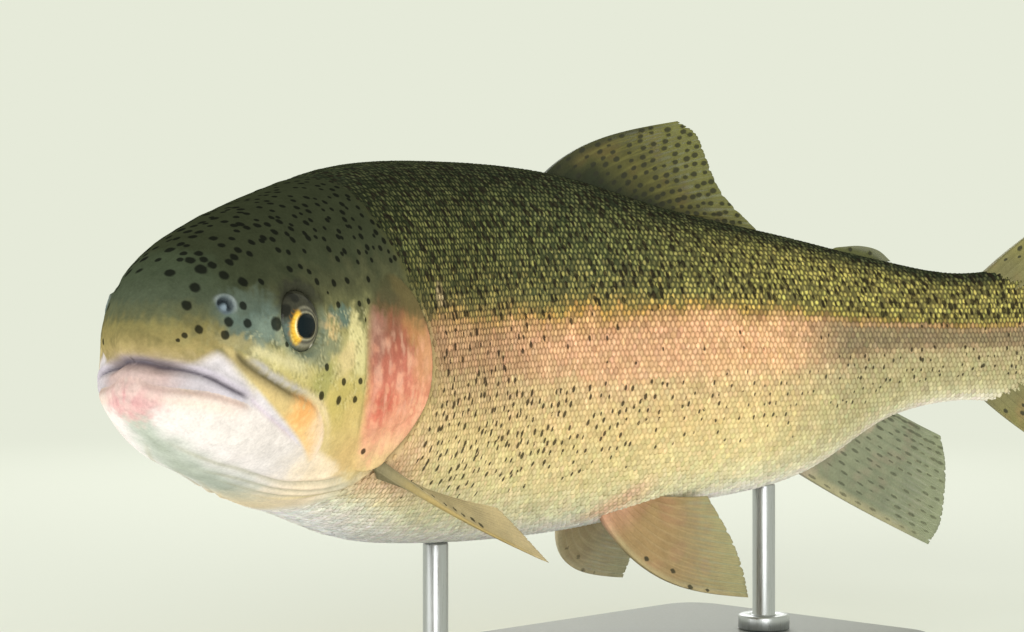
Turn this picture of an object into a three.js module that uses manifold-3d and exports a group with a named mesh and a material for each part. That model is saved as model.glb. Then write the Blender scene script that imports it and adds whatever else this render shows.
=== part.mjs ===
// A life-size display model of an adult rainbow trout, turning as it swims, on two rods and a flat base.
// Millimetres, +Z up. The origin is the middle of the underside of the base, the head points to -X,
// and the fish's left side faces -Y.
//
// The body is shaped as a straight fish first. There x is the distance behind the tip of the snout,
// y is the distance to the fish's right, and z is the height over its long axis. It is parted with thin
// cuts, and then every piece is bent along the spine.
import * as THREE from 'three';
import { mergeVertices } from 'three/addons/utils/BufferGeometryUtils.js';
import Module from 'manifold-3d';

const wasm = await Module();
wasm.setup();

// ---------- driving dimensions ----------
const BODY_LENGTH = 435;          // snout to the end of the tail stalk
const AXIS_HEIGHT = 108;          // long axis over the ground
const GAP = 0.3;                  // between pieces that touch

const SNOUT_X = -181;             // place of the tip of the snout
const SNOUT_Y = -44;
const HEAD_HEADING = 23.3;        // degrees from +X, spine of the head
const TAIL_HEADING = -11.7;       // degrees from +X, spine of the tail
const BEND_START = 92;            // the spine is straight before this
const BEND_END = 235;             // and after this
const NOSE_DOWN = 0.3;            // degrees, head lower than the tail
const LEVEL_X = 200;              // where the axis is at AXIS_HEIGHT

const SNOUT_ROUND = 15;           // length over which the snout rounds off
const SNOUT_Z = 0.5;              // height of the tip of the snout
const WIDEST_Z = -4;              // height of the widest line of the front body
const UPPER_FULLNESS = 2.26;      // superellipse powers of the section
const LOWER_FULLNESS = 2.04;

const BODY_RING = 30;             // points round a section
const FIRST_STEP = 1.3;           // length of the first facet at the snout
const LAST_STEP = 17;             // and of the facets of the trunk
const STEP_GROWTH = 0.14;         // how much each step adds for each millimetre behind the snout

// Heights of back and belly and the half width, each at its distance behind the snout.
const BACK = [[0, 9], [14, 20.5], [28, 28.8], [45, 36], [65, 42], [90, 48.5], [120, 55], [160, 58.5],
  [209, 57.3], [262, 46.2], [310, 38.8], [355, 31.3], [400, 26], [435, 28.5]];
const BELLY = [[0, -12], [14, -18.6], [28, -26.5], [45, -32.6], [65, -40], [90, -46.5], [120, -55],
  [160, -60], [209, -60.8], [262, -55], [322, -46.3], [365, -27.7], [400, -22.6], [435, -25]];
const HALF_WIDTH = [[0, 7], [14, 14.8], [28, 22.8], [45, 26.2], [65, 28.4], [90, 31], [120, 33.6],
  [160, 34.3], [209, 33.6], [262, 30], [322, 20.3], [365, 13.2], [400, 9], [435, 3.2]];

// The head. Outlines are [distance behind the snout, height], seen from the side.
const CHIN_KNOB = { z: -9, reach: 2.2, spread: 5.5 };
const JAW_JOINT = [70, -32.4];
const MOUTH_LINE = [[-12, 0.4], [0, -0.2], [8, -1.5], [16, -5.2], [24, -8.9], [32, -13], [52, -24],
  JAW_JOINT];
const MOUTH_SLIT = 0.6;
const JAW_UNDERLINE = [JAW_JOINT, [58, -32.4], [46, -30.2], [36, -26.8], [28, -24.5], [18, -38]];
const THROAT_TOP = [JAW_JOINT, [79, -32], [87, -30.4], [99, -22]];
const NAPE_TO_THROAT = [[108, 70], [106, 46], [101, 36], [99, 26], [100, 8], [99, -12], [94.5, -25.5],
  [92.5, -30.6], [83, -34.5], [74.5, -36.3], [67.5, -37], [61, -37.8], [56, -39.5], [52, -48]];
const MAXILLA = [[17, 3.6], [22, 1.4], [27, -2.2], [33, -6.2], [40, -9.4], [46, -10.6], [52, -11.6],
  [58, -17], [64, -23.2], [67, -28.6], [64, -31], [57, -27], [49, -22.3], [40, -17], [32, -12.2], [25, -7.4],
  [19, -1.4]];
const GILL_COVER = [[75.4, 8], [77, 15.5], [85, 18.8], [94, 17.2], [101.5, 11], [108, 4], [111, -3.5],
  [110, -12], [106, -19], [100, -24.5], [94, -28.8], [85, -31.6], [77.6, -30.5], [75.6, -20], [75, -5]];
const PLATE = { out: 0.9, in: 2.2, flushBefore: 16, fullAfter: 44 };   // height, depth, and where it rises

// Each eye is a flattened ball, set square to the skin and standing a little out of it.
const EYE = { x: 46, angle: 17, radius: 8.4, depth: 5.2, proud: 2, segments: 12, rings: 8 };

// The trunk is parted at these distances.
const TRUNK_CUTS = [178, 268, 368];

// Fins: roots lie just under the skin, and tips follow the margin from the first ray to the last.
const FIN_EDGE = 0.7;             // thickness at the margin
const RAY_STEPS = 5;
const DORSAL = {
  root: [[211, 0, 55], [226, 0, 52.5], [240, 0, 49], [254, 0, 46], [268, 0, 43.5]],
  tip: [[267.5, 0, 77], [275.5, 0, 73], [280, 0, 65], [286.5, 0, 53.5], [303, 0, 40]],
  bow: [-3, 0, 4], thick: 4.2, rays: 9,
};
const ADIPOSE = {
  root: [[337, 0, 32.6], [344, 0, 31.6], [351, 0, 30.4], [357, 0, 29.2]],
  tip: [[341, 0, 34.8], [352, 0, 35.4], [361, 0, 33.8], [367, 0, 30]],
  bow: [0, 0, 0.6], thick: 3.6, rays: 6,
};
const ANAL = {
  root: [[319, 0, -44.5], [332, 0, -38.5], [344, 0, -33], [355, 0, -28], [366, 0, -25]],
  tip: [[386, 0, -76], [392, 0, -69], [394.5, 0, -59], [395.3, 0, -49], [394.5, 0, -40]],
  bow: [0, 0, -1], thick: 3.6, rays: 9,
};
const CAUDAL = {
  root: [[413, 0, 24], [427, 0, 22.5], [433.5, 0, 12], [434.2, 0, 2], [433.5, 0, -8], [427, 0, -18.6],
    [413, 0, -20]],
  tip: [[486, 0, 61.5], [492, 0, 55], [486, 0, 37], [480, 0, 18], [478, 0, 2.5], [480, 0, -13], [486, 0, -32],
    [492, 0, -50], [486, 0, -56.5]],
  bow: [0, 0, 3], lastBow: [0, 0, -3], thick: 5.4, rays: 12,
};
// Paired fins are given for the right side. The left one mirrors them.
const PELVIC = {
  root: [[227, 10.5, -54.5], [233, 11, -53], [239, 11.5, -51.5], [245, 12, -50]],
  tip: [[278.5, 24.5, -84.5], [278, 22.6, -76], [275, 20, -65], [267.5, 16.5, -50.5]],
  bow: [-6, 5.5, -8], lastBow: [0, 2, 0], thick: 4, rays: 8,
};
const PECTORAL_ROOT = [[95, 23.5, -29.5], [96.5, 22.8, -31.5], [98.5, 22, -33.8], [101, 21, -36]];
const PECTORAL_SPREAD = {
  root: PECTORAL_ROOT,
  tip: [[156, 51, -62], [153, 47, -55], [147, 41, -47.5], [129, 31, -41]],
  bow: [0, 1, -3.5], lastBow: [0, 2, -1], thick: 4.4, rays: 8,
};
const PECTORAL_FOLDED = {
  root: PECTORAL_ROOT,
  tip: [[152, 41, -50], [150, 40, -45], [144, 38, -42], [128, 32, -40]],
  bow: [0, 1, -3.5], lastBow: [0, 2, -1], thick: 4.4, rays: 8,
};

const BASE = { length: 300, width: 116, thickness: 8, corner: 14, bevel: 1 };
const ROD = { radius: 4, sides: 16, sink: 30, collarRadius: 9, collarHeight: 5 };
const ROD_FRONT_X = 166;
const ROD_REAR_X = 306;

// ---------- curves ----------
// A smooth curve through [x, value] pairs that never overshoots by much.
function profile(pairs) {
  const last = pairs.length - 1;
  const slope = pairs.slice(1).map((p, i) => (p[1] - pairs[i][1]) / (p[0] - pairs[i][0]));
  const tangent = pairs.map((p, i) => {
    if (i === 0) return slope[0];
    if (i === last) return slope[last - 1];
    const before = p[0] - pairs[i - 1][0];
    const after = pairs[i + 1][0] - p[0];
    return (slope[i - 1] * after + slope[i] * before) / (before + after);
  });
  return (x) => {
    let i = 0;
    while (i < last - 1 && x > pairs[i + 1][0]) i += 1;
    const width = pairs[i + 1][0] - pairs[i][0];
    const u = THREE.MathUtils.clamp((x - pairs[i][0]) / width, 0, 1);
    const v = 1 - u;
    return pairs[i][1] * (1 + 2 * u) * v * v + tangent[i] * width * u * v * v
      + pairs[i + 1][1] * u * u * (3 - 2 * u) - tangent[i + 1] * width * u * u * v;
  };
}

const backAt = profile(BACK);
const bellyAt = profile(BELLY);
const halfWidthAt = profile(HALF_WIDTH);

function smoothOutline(points, steps) {
  const curve = new THREE.SplineCurve(points.map(([x, z]) => new THREE.Vector2(x, z)));
  return curve.getPoints(steps);
}

function closedOutline(points, steps) {
  const loop = new THREE.CatmullRomCurve3(points.map(([x, z]) => new THREE.Vector3(x, z, 0)), true);
  return loop.getPoints(steps).slice(0, -1).map((p) => new THREE.Vector2(p.x, p.y));
}

// Moves a closed outline outwards, whichever way round it runs.
function grown(outline, distance) {
  const turn = THREE.ShapeUtils.area(outline) > 0 ? 1 : -1;
  const count = outline.length;
  return outline.map((p, i) => {
    const along = outline[(i + 1) % count].clone().sub(outline[(i + count - 1) % count]).normalize();
    return new THREE.Vector2(p.x + along.y * distance * turn, p.y - along.x * distance * turn);
  });
}

// The outline of a thin cut along an open line.
function cutOutline(line, width) {
  const shifted = (half) => line.map((p, i) => {
    const before = line[Math.max(i - 1, 0)];
    const after = line[Math.min(i + 1, line.length - 1)];
    const along = after.clone().sub(before).normalize();
    return new THREE.Vector2(p.x - along.y * half, p.y + along.x * half);
  });
  return [...shifted(width / 2), ...shifted(-width / 2).reverse()];
}

// ---------- the straight fish ----------
// A point of the skin at a distance behind the snout. Angle 0 is the right side and 90 degrees the back.
function skinPoint(x, angle) {
  const near = 1 - Math.min(x / SNOUT_ROUND, 1);
  const round = Math.sqrt(1 - near * near);
  const top = SNOUT_Z + (backAt(x) - SNOUT_Z) * round;
  const bottom = SNOUT_Z + (bellyAt(x) - SNOUT_Z) * round;
  const fade = THREE.MathUtils.clamp(1 - (x - 120) / 150, 0, 1);
  const widest = WIDEST_Z * fade * round + SNOUT_Z * (1 - round);
  const cos = Math.cos(angle);
  const sin = Math.sin(angle);
  const power = 2 / (sin > 0 ? UPPER_FULLNESS : LOWER_FULLNESS);
  const y = halfWidthAt(x) * round * Math.sign(cos) * Math.abs(cos) ** power;
  const rise = (sin > 0 ? top - widest : widest - bottom) * Math.sign(sin) * Math.abs(sin) ** power;
  const z = widest + rise;
  const knob = Math.exp(-(((z - CHIN_KNOB.z) / CHIN_KNOB.spread) ** 2) - (y / CHIN_KNOB.spread) ** 2);
  return new THREE.Vector3(x - CHIN_KNOB.reach * knob * Math.max(1 - x / SNOUT_ROUND, 0), y, z);
}

// The same point moved off the skin along its normal.
function offsetPoint(x, angle, offset) {
  const point = skinPoint(x, angle);
  const inside = Math.min(Math.max(x, 0.05), BODY_LENGTH - 1);
  const along = skinPoint(inside + 0.5, angle).sub(skinPoint(Math.max(inside - 0.5, 0.02), angle));
  const around = skinPoint(inside, angle + 0.03).sub(skinPoint(inside, angle - 0.03));
  return point.addScaledVector(around.cross(along).normalize(), offset);
}

const stations = [0];
while (stations.at(-1) < BODY_LENGTH) {
  const here = stations.at(-1);
  stations.push(Math.min(here + Math.min(FIRST_STEP + STEP_GROWTH * here, LAST_STEP), BODY_LENGTH));
}
if (stations.at(-1) - stations.at(-2) < LAST_STEP / 3) stations.splice(-2, 1);

// The whole body as one closed surface, moved off the skin by an offset that may change along it.
function bodySurface(offsetAt) {
  const rings = stations.slice(1);
  const points = [new THREE.Vector3(-offsetAt(0), 0, SNOUT_Z)];
  const end = BODY_LENGTH + offsetAt(BODY_LENGTH);
  for (const x of rings) {
    for (let i = 0; i < BODY_RING; i += 1) {
      const point = offsetPoint(x, (i / BODY_RING) * 2 * Math.PI, offsetAt(x));
      if (x === BODY_LENGTH) point.x = end;
      points.push(point);
    }
  }
  points.push(new THREE.Vector3(end, 0, (backAt(BODY_LENGTH) + bellyAt(BODY_LENGTH)) / 2));
  const faces = [];
  const at = (ring, i) => 1 + ring * BODY_RING + ((i + BODY_RING) % BODY_RING);
  for (let i = 0; i < BODY_RING; i += 1) {
    faces.push(0, at(0, i + 1), at(0, i));
    for (let ring = 0; ring < rings.length - 1; ring += 1) {
      faces.push(at(ring, i), at(ring, i + 1), at(ring + 1, i + 1));
      faces.push(at(ring, i), at(ring + 1, i + 1), at(ring + 1, i));
    }
    faces.push(at(rings.length - 1, i), at(rings.length - 1, i + 1), points.length - 1);
  }
  const surface = new THREE.BufferGeometry().setFromPoints(points);
  surface.setIndex(faces);
  return surface;
}

// ---------- solids ----------
function solid(geometry) {
  const bare = geometry.clone();
  bare.deleteAttribute('normal');
  bare.deleteAttribute('uv');
  const merged = mergeVertices(bare);
  return new wasm.Manifold(new wasm.Mesh({
    numProp: 3,
    vertProperties: new Float32Array(merged.attributes.position.array),
    triVerts: new Uint32Array(merged.index.array),
  }));
}

function surfaceOf(body) {
  const { vertProperties, triVerts } = body.getMesh();
  const geometry = new THREE.BufferGeometry();
  geometry.setAttribute('position', new THREE.BufferAttribute(vertProperties, 3));
  geometry.setIndex(new THREE.BufferAttribute(triVerts, 1));
  return geometry;
}

// An outline in the side view, made solid from one y to another.
function prism(outline, low, high) {
  const shape = new THREE.Shape(outline);
  const geometry = new THREE.ExtrudeGeometry(shape, { depth: high - low, bevelEnabled: false });
  return solid(geometry.rotateX(Math.PI / 2).translate(0, high, 0));
}

const HALF_SPAN = 60;             // half the width of the cutting solids
const POCKET_REACH = 3;           // how far they stand over the plates
const acrossBody = (outline) => prism(outline, -HALF_SPAN, HALF_SPAN);
const onSide = (outline, side) => (side < 0 ? prism(outline, -HALF_SPAN, -1) : prism(outline, 1, HALF_SPAN));
const thinCut = (line, width) => acrossBody(cutOutline(line, width));

// ---------- bending along the spine ----------
const SPINE_STEP = 1;
const SPINE_PAST_BODY = 80;
const spine = [{ x: SNOUT_X, y: SNOUT_Y }];
function headingAt(x) {
  const turned = THREE.MathUtils.smoothstep(x, BEND_START, BEND_END);
  return THREE.MathUtils.degToRad(THREE.MathUtils.lerp(HEAD_HEADING, TAIL_HEADING, turned));
}
for (let x = 0; x < BODY_LENGTH + SPINE_PAST_BODY; x += SPINE_STEP) {
  const heading = headingAt(x + SPINE_STEP / 2);
  const { x: lastX, y: lastY } = spine.at(-1);
  spine.push({ x: lastX + SPINE_STEP * Math.cos(heading), y: lastY + SPINE_STEP * Math.sin(heading) });
}

function bentPoint(point) {
  const place = Math.max(point.x, 0) / SPINE_STEP;
  const index = Math.min(Math.floor(place), spine.length - 2);
  const part = place - index;
  const heading = headingAt(point.x);
  const ahead = Math.min(point.x, 0);
  const x = THREE.MathUtils.lerp(spine[index].x, spine[index + 1].x, part) + ahead * Math.cos(heading);
  const y = THREE.MathUtils.lerp(spine[index].y, spine[index + 1].y, part) + ahead * Math.sin(heading);
  const pitch = Math.tan(THREE.MathUtils.degToRad(NOSE_DOWN)) * (point.x - LEVEL_X);
  return new THREE.Vector3(
    x - point.y * Math.sin(heading),
    y + point.y * Math.cos(heading),
    point.z + AXIS_HEIGHT + pitch,
  );
}

function bent(geometry) {
  const { position } = geometry.attributes;
  const point = new THREE.Vector3();
  for (let i = 0; i < position.count; i += 1) {
    const moved = bentPoint(point.fromBufferAttribute(position, i));
    position.setXYZ(i, moved.x, moved.y, moved.z);
  }
  return geometry;
}

// ---------- scene graph ----------
const trout = new THREE.Group();

function finish(color, roughness, metalness = 0) {
  return new THREE.MeshStandardMaterial({ color, roughness, metalness });
}

function addPiece(name, geometry, material) {
  geometry.computeVertexNormals();
  const mesh = new THREE.Mesh(geometry, material);
  mesh.name = name;
  trout.add(mesh);
}

const addFlesh = (name, body, color) => addPiece(name, bent(surfaceOf(body)), finish(color, 0.4));
const sides = [['left', -1], ['right', 1]];

// ---------- eyes: balls in open sockets ----------
function eyeBall(side, grow) {
  const angle = THREE.MathUtils.degToRad(side > 0 ? EYE.angle : 180 - EYE.angle);
  const centre = offsetPoint(EYE.x, angle, EYE.proud - EYE.depth);
  const outward = offsetPoint(EYE.x, angle, 1).sub(skinPoint(EYE.x, angle));
  const ball = new THREE.SphereGeometry(1, EYE.segments, EYE.rings);
  ball.scale(EYE.radius + grow, EYE.depth + grow, EYE.radius + grow);
  const poleAxis = new THREE.Vector3(0, 1, 0);
  ball.applyQuaternion(new THREE.Quaternion().setFromUnitVectors(poleAxis, outward.normalize()));
  return solid(ball.translate(centre.x, centre.y, centre.z));
}

// ---------- bony plates that overlap the skin: gill covers and maxillae ----------
const skin = solid(bodySurface(() => 0));
const plateRise = (x) => THREE.MathUtils.smoothstep(x, PLATE.flushBefore, PLATE.fullAfter);
const plateTop = solid(bodySurface((x) => PLATE.out * plateRise(x)));
const plateUnder = solid(bodySurface(() => -PLATE.in));
const pocketTop = solid(bodySurface(() => PLATE.out + POCKET_REACH));
const pocketFloor = solid(bodySurface(() => -PLATE.in - GAP));

const plate = (outline, side) => plateTop.intersect(onSide(outline, side)).subtract(plateUnder);
const pocket = (outline, side) => (
  pocketTop.intersect(onSide(grown(outline, GAP), side)).subtract(pocketFloor)
);

const maxillaOutline = closedOutline(MAXILLA, 20);
const gillOutline = closedOutline(GILL_COVER, 22);

let flesh = skin;
for (const [name, side] of sides) {
  flesh = flesh.subtract(eyeBall(side, GAP));
  flesh = flesh.subtract(pocket(maxillaOutline, side)).subtract(pocket(gillOutline, side));
  addFlesh(`maxilla_${name}`, plate(maxillaOutline, side), '#c9a24e');
  addFlesh(`gill_cover_${name}`, plate(gillOutline, side), '#c46a55');
  addPiece(`eye_${name}`, bent(surfaceOf(eyeBall(side, 0))), finish('#20201c', 0.1));
}

// ---------- head, jaw and throat, parted along the mouth and the gill membranes ----------
const mouthLine = smoothOutline(MOUTH_LINE, 16);
const jawUnderline = smoothOutline(JAW_UNDERLINE, 12);
const throatTop = smoothOutline(THROAT_TOP, 6);
const headRear = smoothOutline(NAPE_TO_THROAT, 26);
const corner = (x, z) => new THREE.Vector2(x, z);

const headZone = acrossBody([...headRear, corner(-30, -48), corner(-30, 70)]);
const jawZone = acrossBody([...mouthLine, ...jawUnderline.slice(1), corner(-12, -38)]);
const belowMouth = acrossBody([...mouthLine, ...throatTop.slice(1), corner(99, -70), corner(-12, -70)]);
const parting = thinCut(mouthLine, MOUTH_SLIT).add(thinCut(headRear, GAP))
  .add(thinCut(jawUnderline, GAP)).add(thinCut(throatTop, GAP));

const wholeHead = flesh.intersect(headZone).subtract(parting);
addFlesh('head', wholeHead.subtract(belowMouth), '#6d6a3a');
addFlesh('lower_jaw', wholeHead.intersect(jawZone), '#e9ddd2');
addFlesh('throat', wholeHead.intersect(belowMouth).subtract(jawZone), '#ddd6c6');

// ---------- trunk and tail stalk ----------
const cutFace = (x) => [corner(x, -90), corner(x, 90)];
const slab = (from, to) => acrossBody([corner(from, -90), corner(to, -90), corner(to, 90), corner(from, 90)]);
const trunkNames = ['trunk_front', 'trunk_middle', 'trunk_rear', 'tail_stalk'];
const trunkColors = ['#8f8a52', '#94905a', '#9a9556', '#8c8a4c'];
const trunk = flesh.subtract(headZone).subtract(parting);
trunkNames.forEach((name, i) => {
  const from = i === 0 ? 0 : TRUNK_CUTS[i - 1];
  const to = TRUNK_CUTS[i] ?? BODY_LENGTH + 5;
  let piece = trunk.intersect(slab(from, to));
  if (i > 0) piece = piece.subtract(thinCut(cutFace(from), GAP));
  if (i < TRUNK_CUTS.length) piece = piece.subtract(thinCut(cutFace(to), GAP));
  addFlesh(name, piece, trunkColors[i]);
});

// ---------- fins ----------
// A fin is a fan of rays between its root and its margin, thick at the root and thin at the edge.
function finSurface({ root, tip, bow, lastBow = [0, 0, 0], thick, rays }, side) {
  const placed = ([x, y, z]) => new THREE.Vector3(x, y * side, z);
  const curveOf = (points) => new THREE.CatmullRomCurve3(points.map(placed));
  const rootCurve = curveOf(root);
  const tipCurve = curveOf(tip);
  const firstBow = placed(bow);
  const endBow = placed(lastBow);
  const middle = (s, r) => {
    const point = rootCurve.getPoint(s).lerp(tipCurve.getPoint(s), r);
    return point.addScaledVector(firstBow.clone().lerp(endBow, s), Math.sin(Math.PI * r ** 0.8));
  };
  const normal = (s, r) => {
    const e = 0.02;
    const across = middle(Math.min(s + e, 1), r).sub(middle(Math.max(s - e, 0), r));
    const along = middle(s, Math.min(r + e, 1)).sub(middle(s, Math.max(r - e, 0)));
    return across.cross(along).normalize();
  };
  const points = [];
  for (const face of [-1, 1]) {
    for (let i = 0; i <= rays; i += 1) {
      for (let j = 0; j <= RAY_STEPS; j += 1) {
        const s = i / rays;
        const r = j / RAY_STEPS;
        const fullness = Math.min(1, 0.45 + 6 * s * (1 - s)) * (1 - r) ** 1.6;
        const half = (FIN_EDGE + (thick - FIN_EDGE) * fullness) / 2;
        points.push(middle(s, r).addScaledVector(normal(s, r), face * half));
      }
    }
  }
  const row = RAY_STEPS + 1;
  const layer = row * (rays + 1);
  const faces = [];
  const quad = (a, b, c, d) => faces.push(a, b, c, a, c, d);
  for (let i = 0; i < rays; i += 1) {
    for (let j = 0; j < RAY_STEPS; j += 1) {
      const a = i * row + j;
      quad(a, a + 1, a + row + 1, a + row);
      quad(layer + a, layer + a + row, layer + a + row + 1, layer + a + 1);
    }
    const foot = i * row;
    quad(foot, foot + row, layer + foot + row, layer + foot);
    const rim = foot + RAY_STEPS;
    quad(rim, layer + rim, layer + rim + row, rim + row);
  }
  for (let j = 0; j < RAY_STEPS; j += 1) {
    quad(j, layer + j, layer + j + 1, j + 1);
    const a = rays * row + j;
    quad(a, a + 1, layer + a + 1, layer + a);
  }
  const surface = new THREE.BufferGeometry().setFromPoints(points);
  surface.setIndex(faces);
  return surface;
}

// Turns every face of a surface round, for a fan whose rays run the other way.
function turnedRound(geometry) {
  const { index } = geometry;
  for (let i = 0; i < index.count; i += 3) {
    const second = index.getX(i + 1);
    index.setX(i + 1, index.getX(i + 2));
    index.setX(i + 2, second);
  }
  return geometry;
}

const clearSkin = solid(bodySurface(() => GAP));

function addFin(name, shape, side, color) {
  const surface = finSurface(shape, side);
  let fin = solid(surface);
  if (fin.volume() < 0) fin = solid(turnedRound(surface));
  addFlesh(name, fin.subtract(clearSkin), color);
}

addFin('dorsal_fin', DORSAL, 1, '#7d8245');
addFin('adipose_fin', ADIPOSE, 1, '#767a45');
addFin('anal_fin', ANAL, 1, '#8b9a72');
addFin('caudal_fin', CAUDAL, 1, '#7f8250');
for (const [name, side] of sides) {
  addFin(`pelvic_fin_${name}`, PELVIC, side, '#b08d68');
  addFin(`pectoral_fin_${name}`, side < 0 ? PECTORAL_SPREAD : PECTORAL_FOLDED, side, '#a89a55');
}

// ---------- display stand ----------
function roundedRectangle(length, width, radius) {
  const shape = new THREE.Shape();
  const x = length / 2 - radius;
  const y = width / 2 - radius;
  const corners = [[x, y, 0], [-x, y, 1], [-x, -y, 2], [x, -y, 3]];
  for (const [cx, cy, quarter] of corners) {
    shape.absarc(cx, cy, radius, (quarter * Math.PI) / 2, ((quarter + 1) * Math.PI) / 2, false);
  }
  return shape;
}

const { bevel } = BASE;
const basePlan = roundedRectangle(BASE.length - 2 * bevel, BASE.width - 2 * bevel, BASE.corner - bevel);
const basePlate = new THREE.ExtrudeGeometry(basePlan, {
  depth: BASE.thickness - 2 * bevel,
  bevelSize: bevel,
  bevelThickness: bevel,
  bevelSegments: 1,
  curveSegments: 3,
}).translate(0, 0, bevel);
addPiece('stand_base', surfaceOf(solid(basePlate)), finish('#8e9092', 0.5, 0.2));

const clearBody = solid(bent(bodySurface(() => GAP)));
function addRod(name, x) {
  const foot = bentPoint(new THREE.Vector3(x, 0, 0));
  const bottom = BASE.thickness + GAP;
  const top = foot.z + bellyAt(x) + ROD.sink;
  const { radius, collarRadius, collarHeight } = ROD;
  const outline = [[0, bottom], [collarRadius, bottom], [collarRadius, bottom + collarHeight - 1],
    [collarRadius - 1, bottom + collarHeight], [radius, bottom + collarHeight], [radius, top], [0, top]];
  const turned = new THREE.LatheGeometry(outline.map(([r, z]) => new THREE.Vector2(r, z)), ROD.sides);
  turned.rotateX(Math.PI / 2).translate(foot.x, foot.y, 0);
  addPiece(name, surfaceOf(solid(turned).subtract(clearBody)), finish('#b9bbbd', 0.3, 0.9));
}
addRod('stand_rod_front', ROD_FRONT_X);
addRod('stand_rod_rear', ROD_REAR_X);

export default trout;
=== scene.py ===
import math

import bpy
import numpy as np
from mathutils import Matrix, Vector


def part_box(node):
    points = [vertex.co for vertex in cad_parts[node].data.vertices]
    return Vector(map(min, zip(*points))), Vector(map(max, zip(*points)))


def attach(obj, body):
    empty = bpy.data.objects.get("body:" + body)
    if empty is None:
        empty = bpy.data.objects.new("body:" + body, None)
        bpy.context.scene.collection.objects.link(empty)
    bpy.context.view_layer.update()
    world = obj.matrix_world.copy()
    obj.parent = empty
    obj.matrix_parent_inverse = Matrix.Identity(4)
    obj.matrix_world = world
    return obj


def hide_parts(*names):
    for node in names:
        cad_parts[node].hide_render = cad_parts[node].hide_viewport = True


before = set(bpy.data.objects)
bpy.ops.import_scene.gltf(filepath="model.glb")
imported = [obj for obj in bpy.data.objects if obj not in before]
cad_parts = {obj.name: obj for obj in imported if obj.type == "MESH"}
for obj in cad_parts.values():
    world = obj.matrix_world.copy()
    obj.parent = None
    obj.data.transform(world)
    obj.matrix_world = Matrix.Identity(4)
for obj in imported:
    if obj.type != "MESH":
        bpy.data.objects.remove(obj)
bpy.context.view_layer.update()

# ---------- the view ----------
# A long lens level with the fish, ahead of it and to its left. The head is the nearest part, and the body
# turns away behind it.
LENS, SENSOR_WIDTH = 70.3, 36
CAMERA_PLACE = Vector((-0.4483, -0.4477, 0.116))
CAMERA_AIM = Vector((0.70339, 0.71080, 0.00349))

camera_data = bpy.data.cameras.new("view_camera")
camera_data.lens = LENS
camera_data.sensor_width = SENSOR_WIDTH
camera_data.clip_start = 0.01
camera = bpy.data.objects.new("view_camera", camera_data)
camera.location = CAMERA_PLACE
camera.rotation_euler = CAMERA_AIM.to_track_quat("-Z", "Y").to_euler()
bpy.context.scene.collection.objects.link(camera)
bpy.context.scene.camera = camera
bpy.context.scene.view_settings.view_transform = "Standard"

# ---------- form of the body ----------
# The trout is shaped as a straight fish in millimetres: x runs back from the tip of the snout, y to the
# fish's right and z up from its long axis. Every piece of it is then bent along the spine.
BODY_LENGTH = 435
AXIS_HEIGHT = 108
SNOUT_X, SNOUT_Y = -181, -44
HEAD_HEADING, TAIL_HEADING = 23.3, -11.7
BEND_START, BEND_END = 92, 235
NOSE_DOWN, LEVEL_X = 0.3, 200
SNOUT_ROUND, SNOUT_Z, WIDEST_Z = 15, 0.5, -4
UPPER_FULLNESS, LOWER_FULLNESS = 2.26, 2.04
CHIN_Z, CHIN_REACH, CHIN_SPREAD = -9, 2.2, 5.5
BACK = [[0, 9], [14, 20.5], [28, 28.8], [45, 36], [65, 42], [90, 48.5], [120, 55], [160, 58.5],
        [209, 57.3], [262, 46.2], [310, 38.8], [355, 31.3], [400, 26], [435, 28.5]]
BELLY = [[0, -12], [14, -18.6], [28, -26.5], [45, -32.6], [65, -40], [90, -46.5], [120, -55],
         [160, -60], [209, -60.8], [262, -55], [322, -46.3], [365, -27.7], [400, -22.6], [435, -25]]
HALF_WIDTH = [[0, 7], [14, 14.8], [28, 22.8], [45, 26.2], [65, 28.4], [90, 31], [120, 33.6],
              [160, 34.3], [209, 33.6], [262, 30], [322, 20.3], [365, 13.2], [400, 9], [435, 3.2]]


def profile(pairs):
    """A smooth curve through [x, value] pairs, as a function of x."""
    x, value = np.array(pairs, float).T
    gap = np.diff(x)
    slope = np.diff(value) / gap
    inner = (slope[:-1] * gap[1:] + slope[1:] * gap[:-1]) / (gap[:-1] + gap[1:])
    tangent = np.concatenate([slope[:1], inner, slope[-1:]])

    def at(place):
        """The curve's value at each place."""
        i = np.clip(np.searchsorted(x, place, side="right") - 1, 0, len(x) - 2)
        u = np.clip((place - x[i]) / gap[i], 0, 1)
        v = 1 - u
        return (value[i] * (1 + 2 * u) * v * v + tangent[i] * gap[i] * u * v * v
                + value[i + 1] * u * u * (3 - 2 * u) - tangent[i + 1] * gap[i] * u * u * v)
    return at


back_at, belly_at, half_width_at = profile(BACK), profile(BELLY), profile(HALF_WIDTH)


def ease(low, high, value):
    """A smooth step from 0 to 1 while the value goes from low to high."""
    u = np.clip((np.asarray(value, float) - low) / (high - low), 0, 1)
    return u * u * (3 - 2 * u)


def section(x):
    """Top, bottom, half width and height of the widest line of the section at x."""
    near = 1 - np.minimum(x / SNOUT_ROUND, 1)
    full = np.sqrt(np.maximum(1 - near * near, 0))
    top = SNOUT_Z + (back_at(x) - SNOUT_Z) * full
    bottom = SNOUT_Z + (belly_at(x) - SNOUT_Z) * full
    fade = np.clip(1 - (x - 120) / 150, 0, 1)
    widest = WIDEST_Z * fade * full + SNOUT_Z * (1 - full)
    return top, bottom, half_width_at(x) * full, widest


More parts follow.
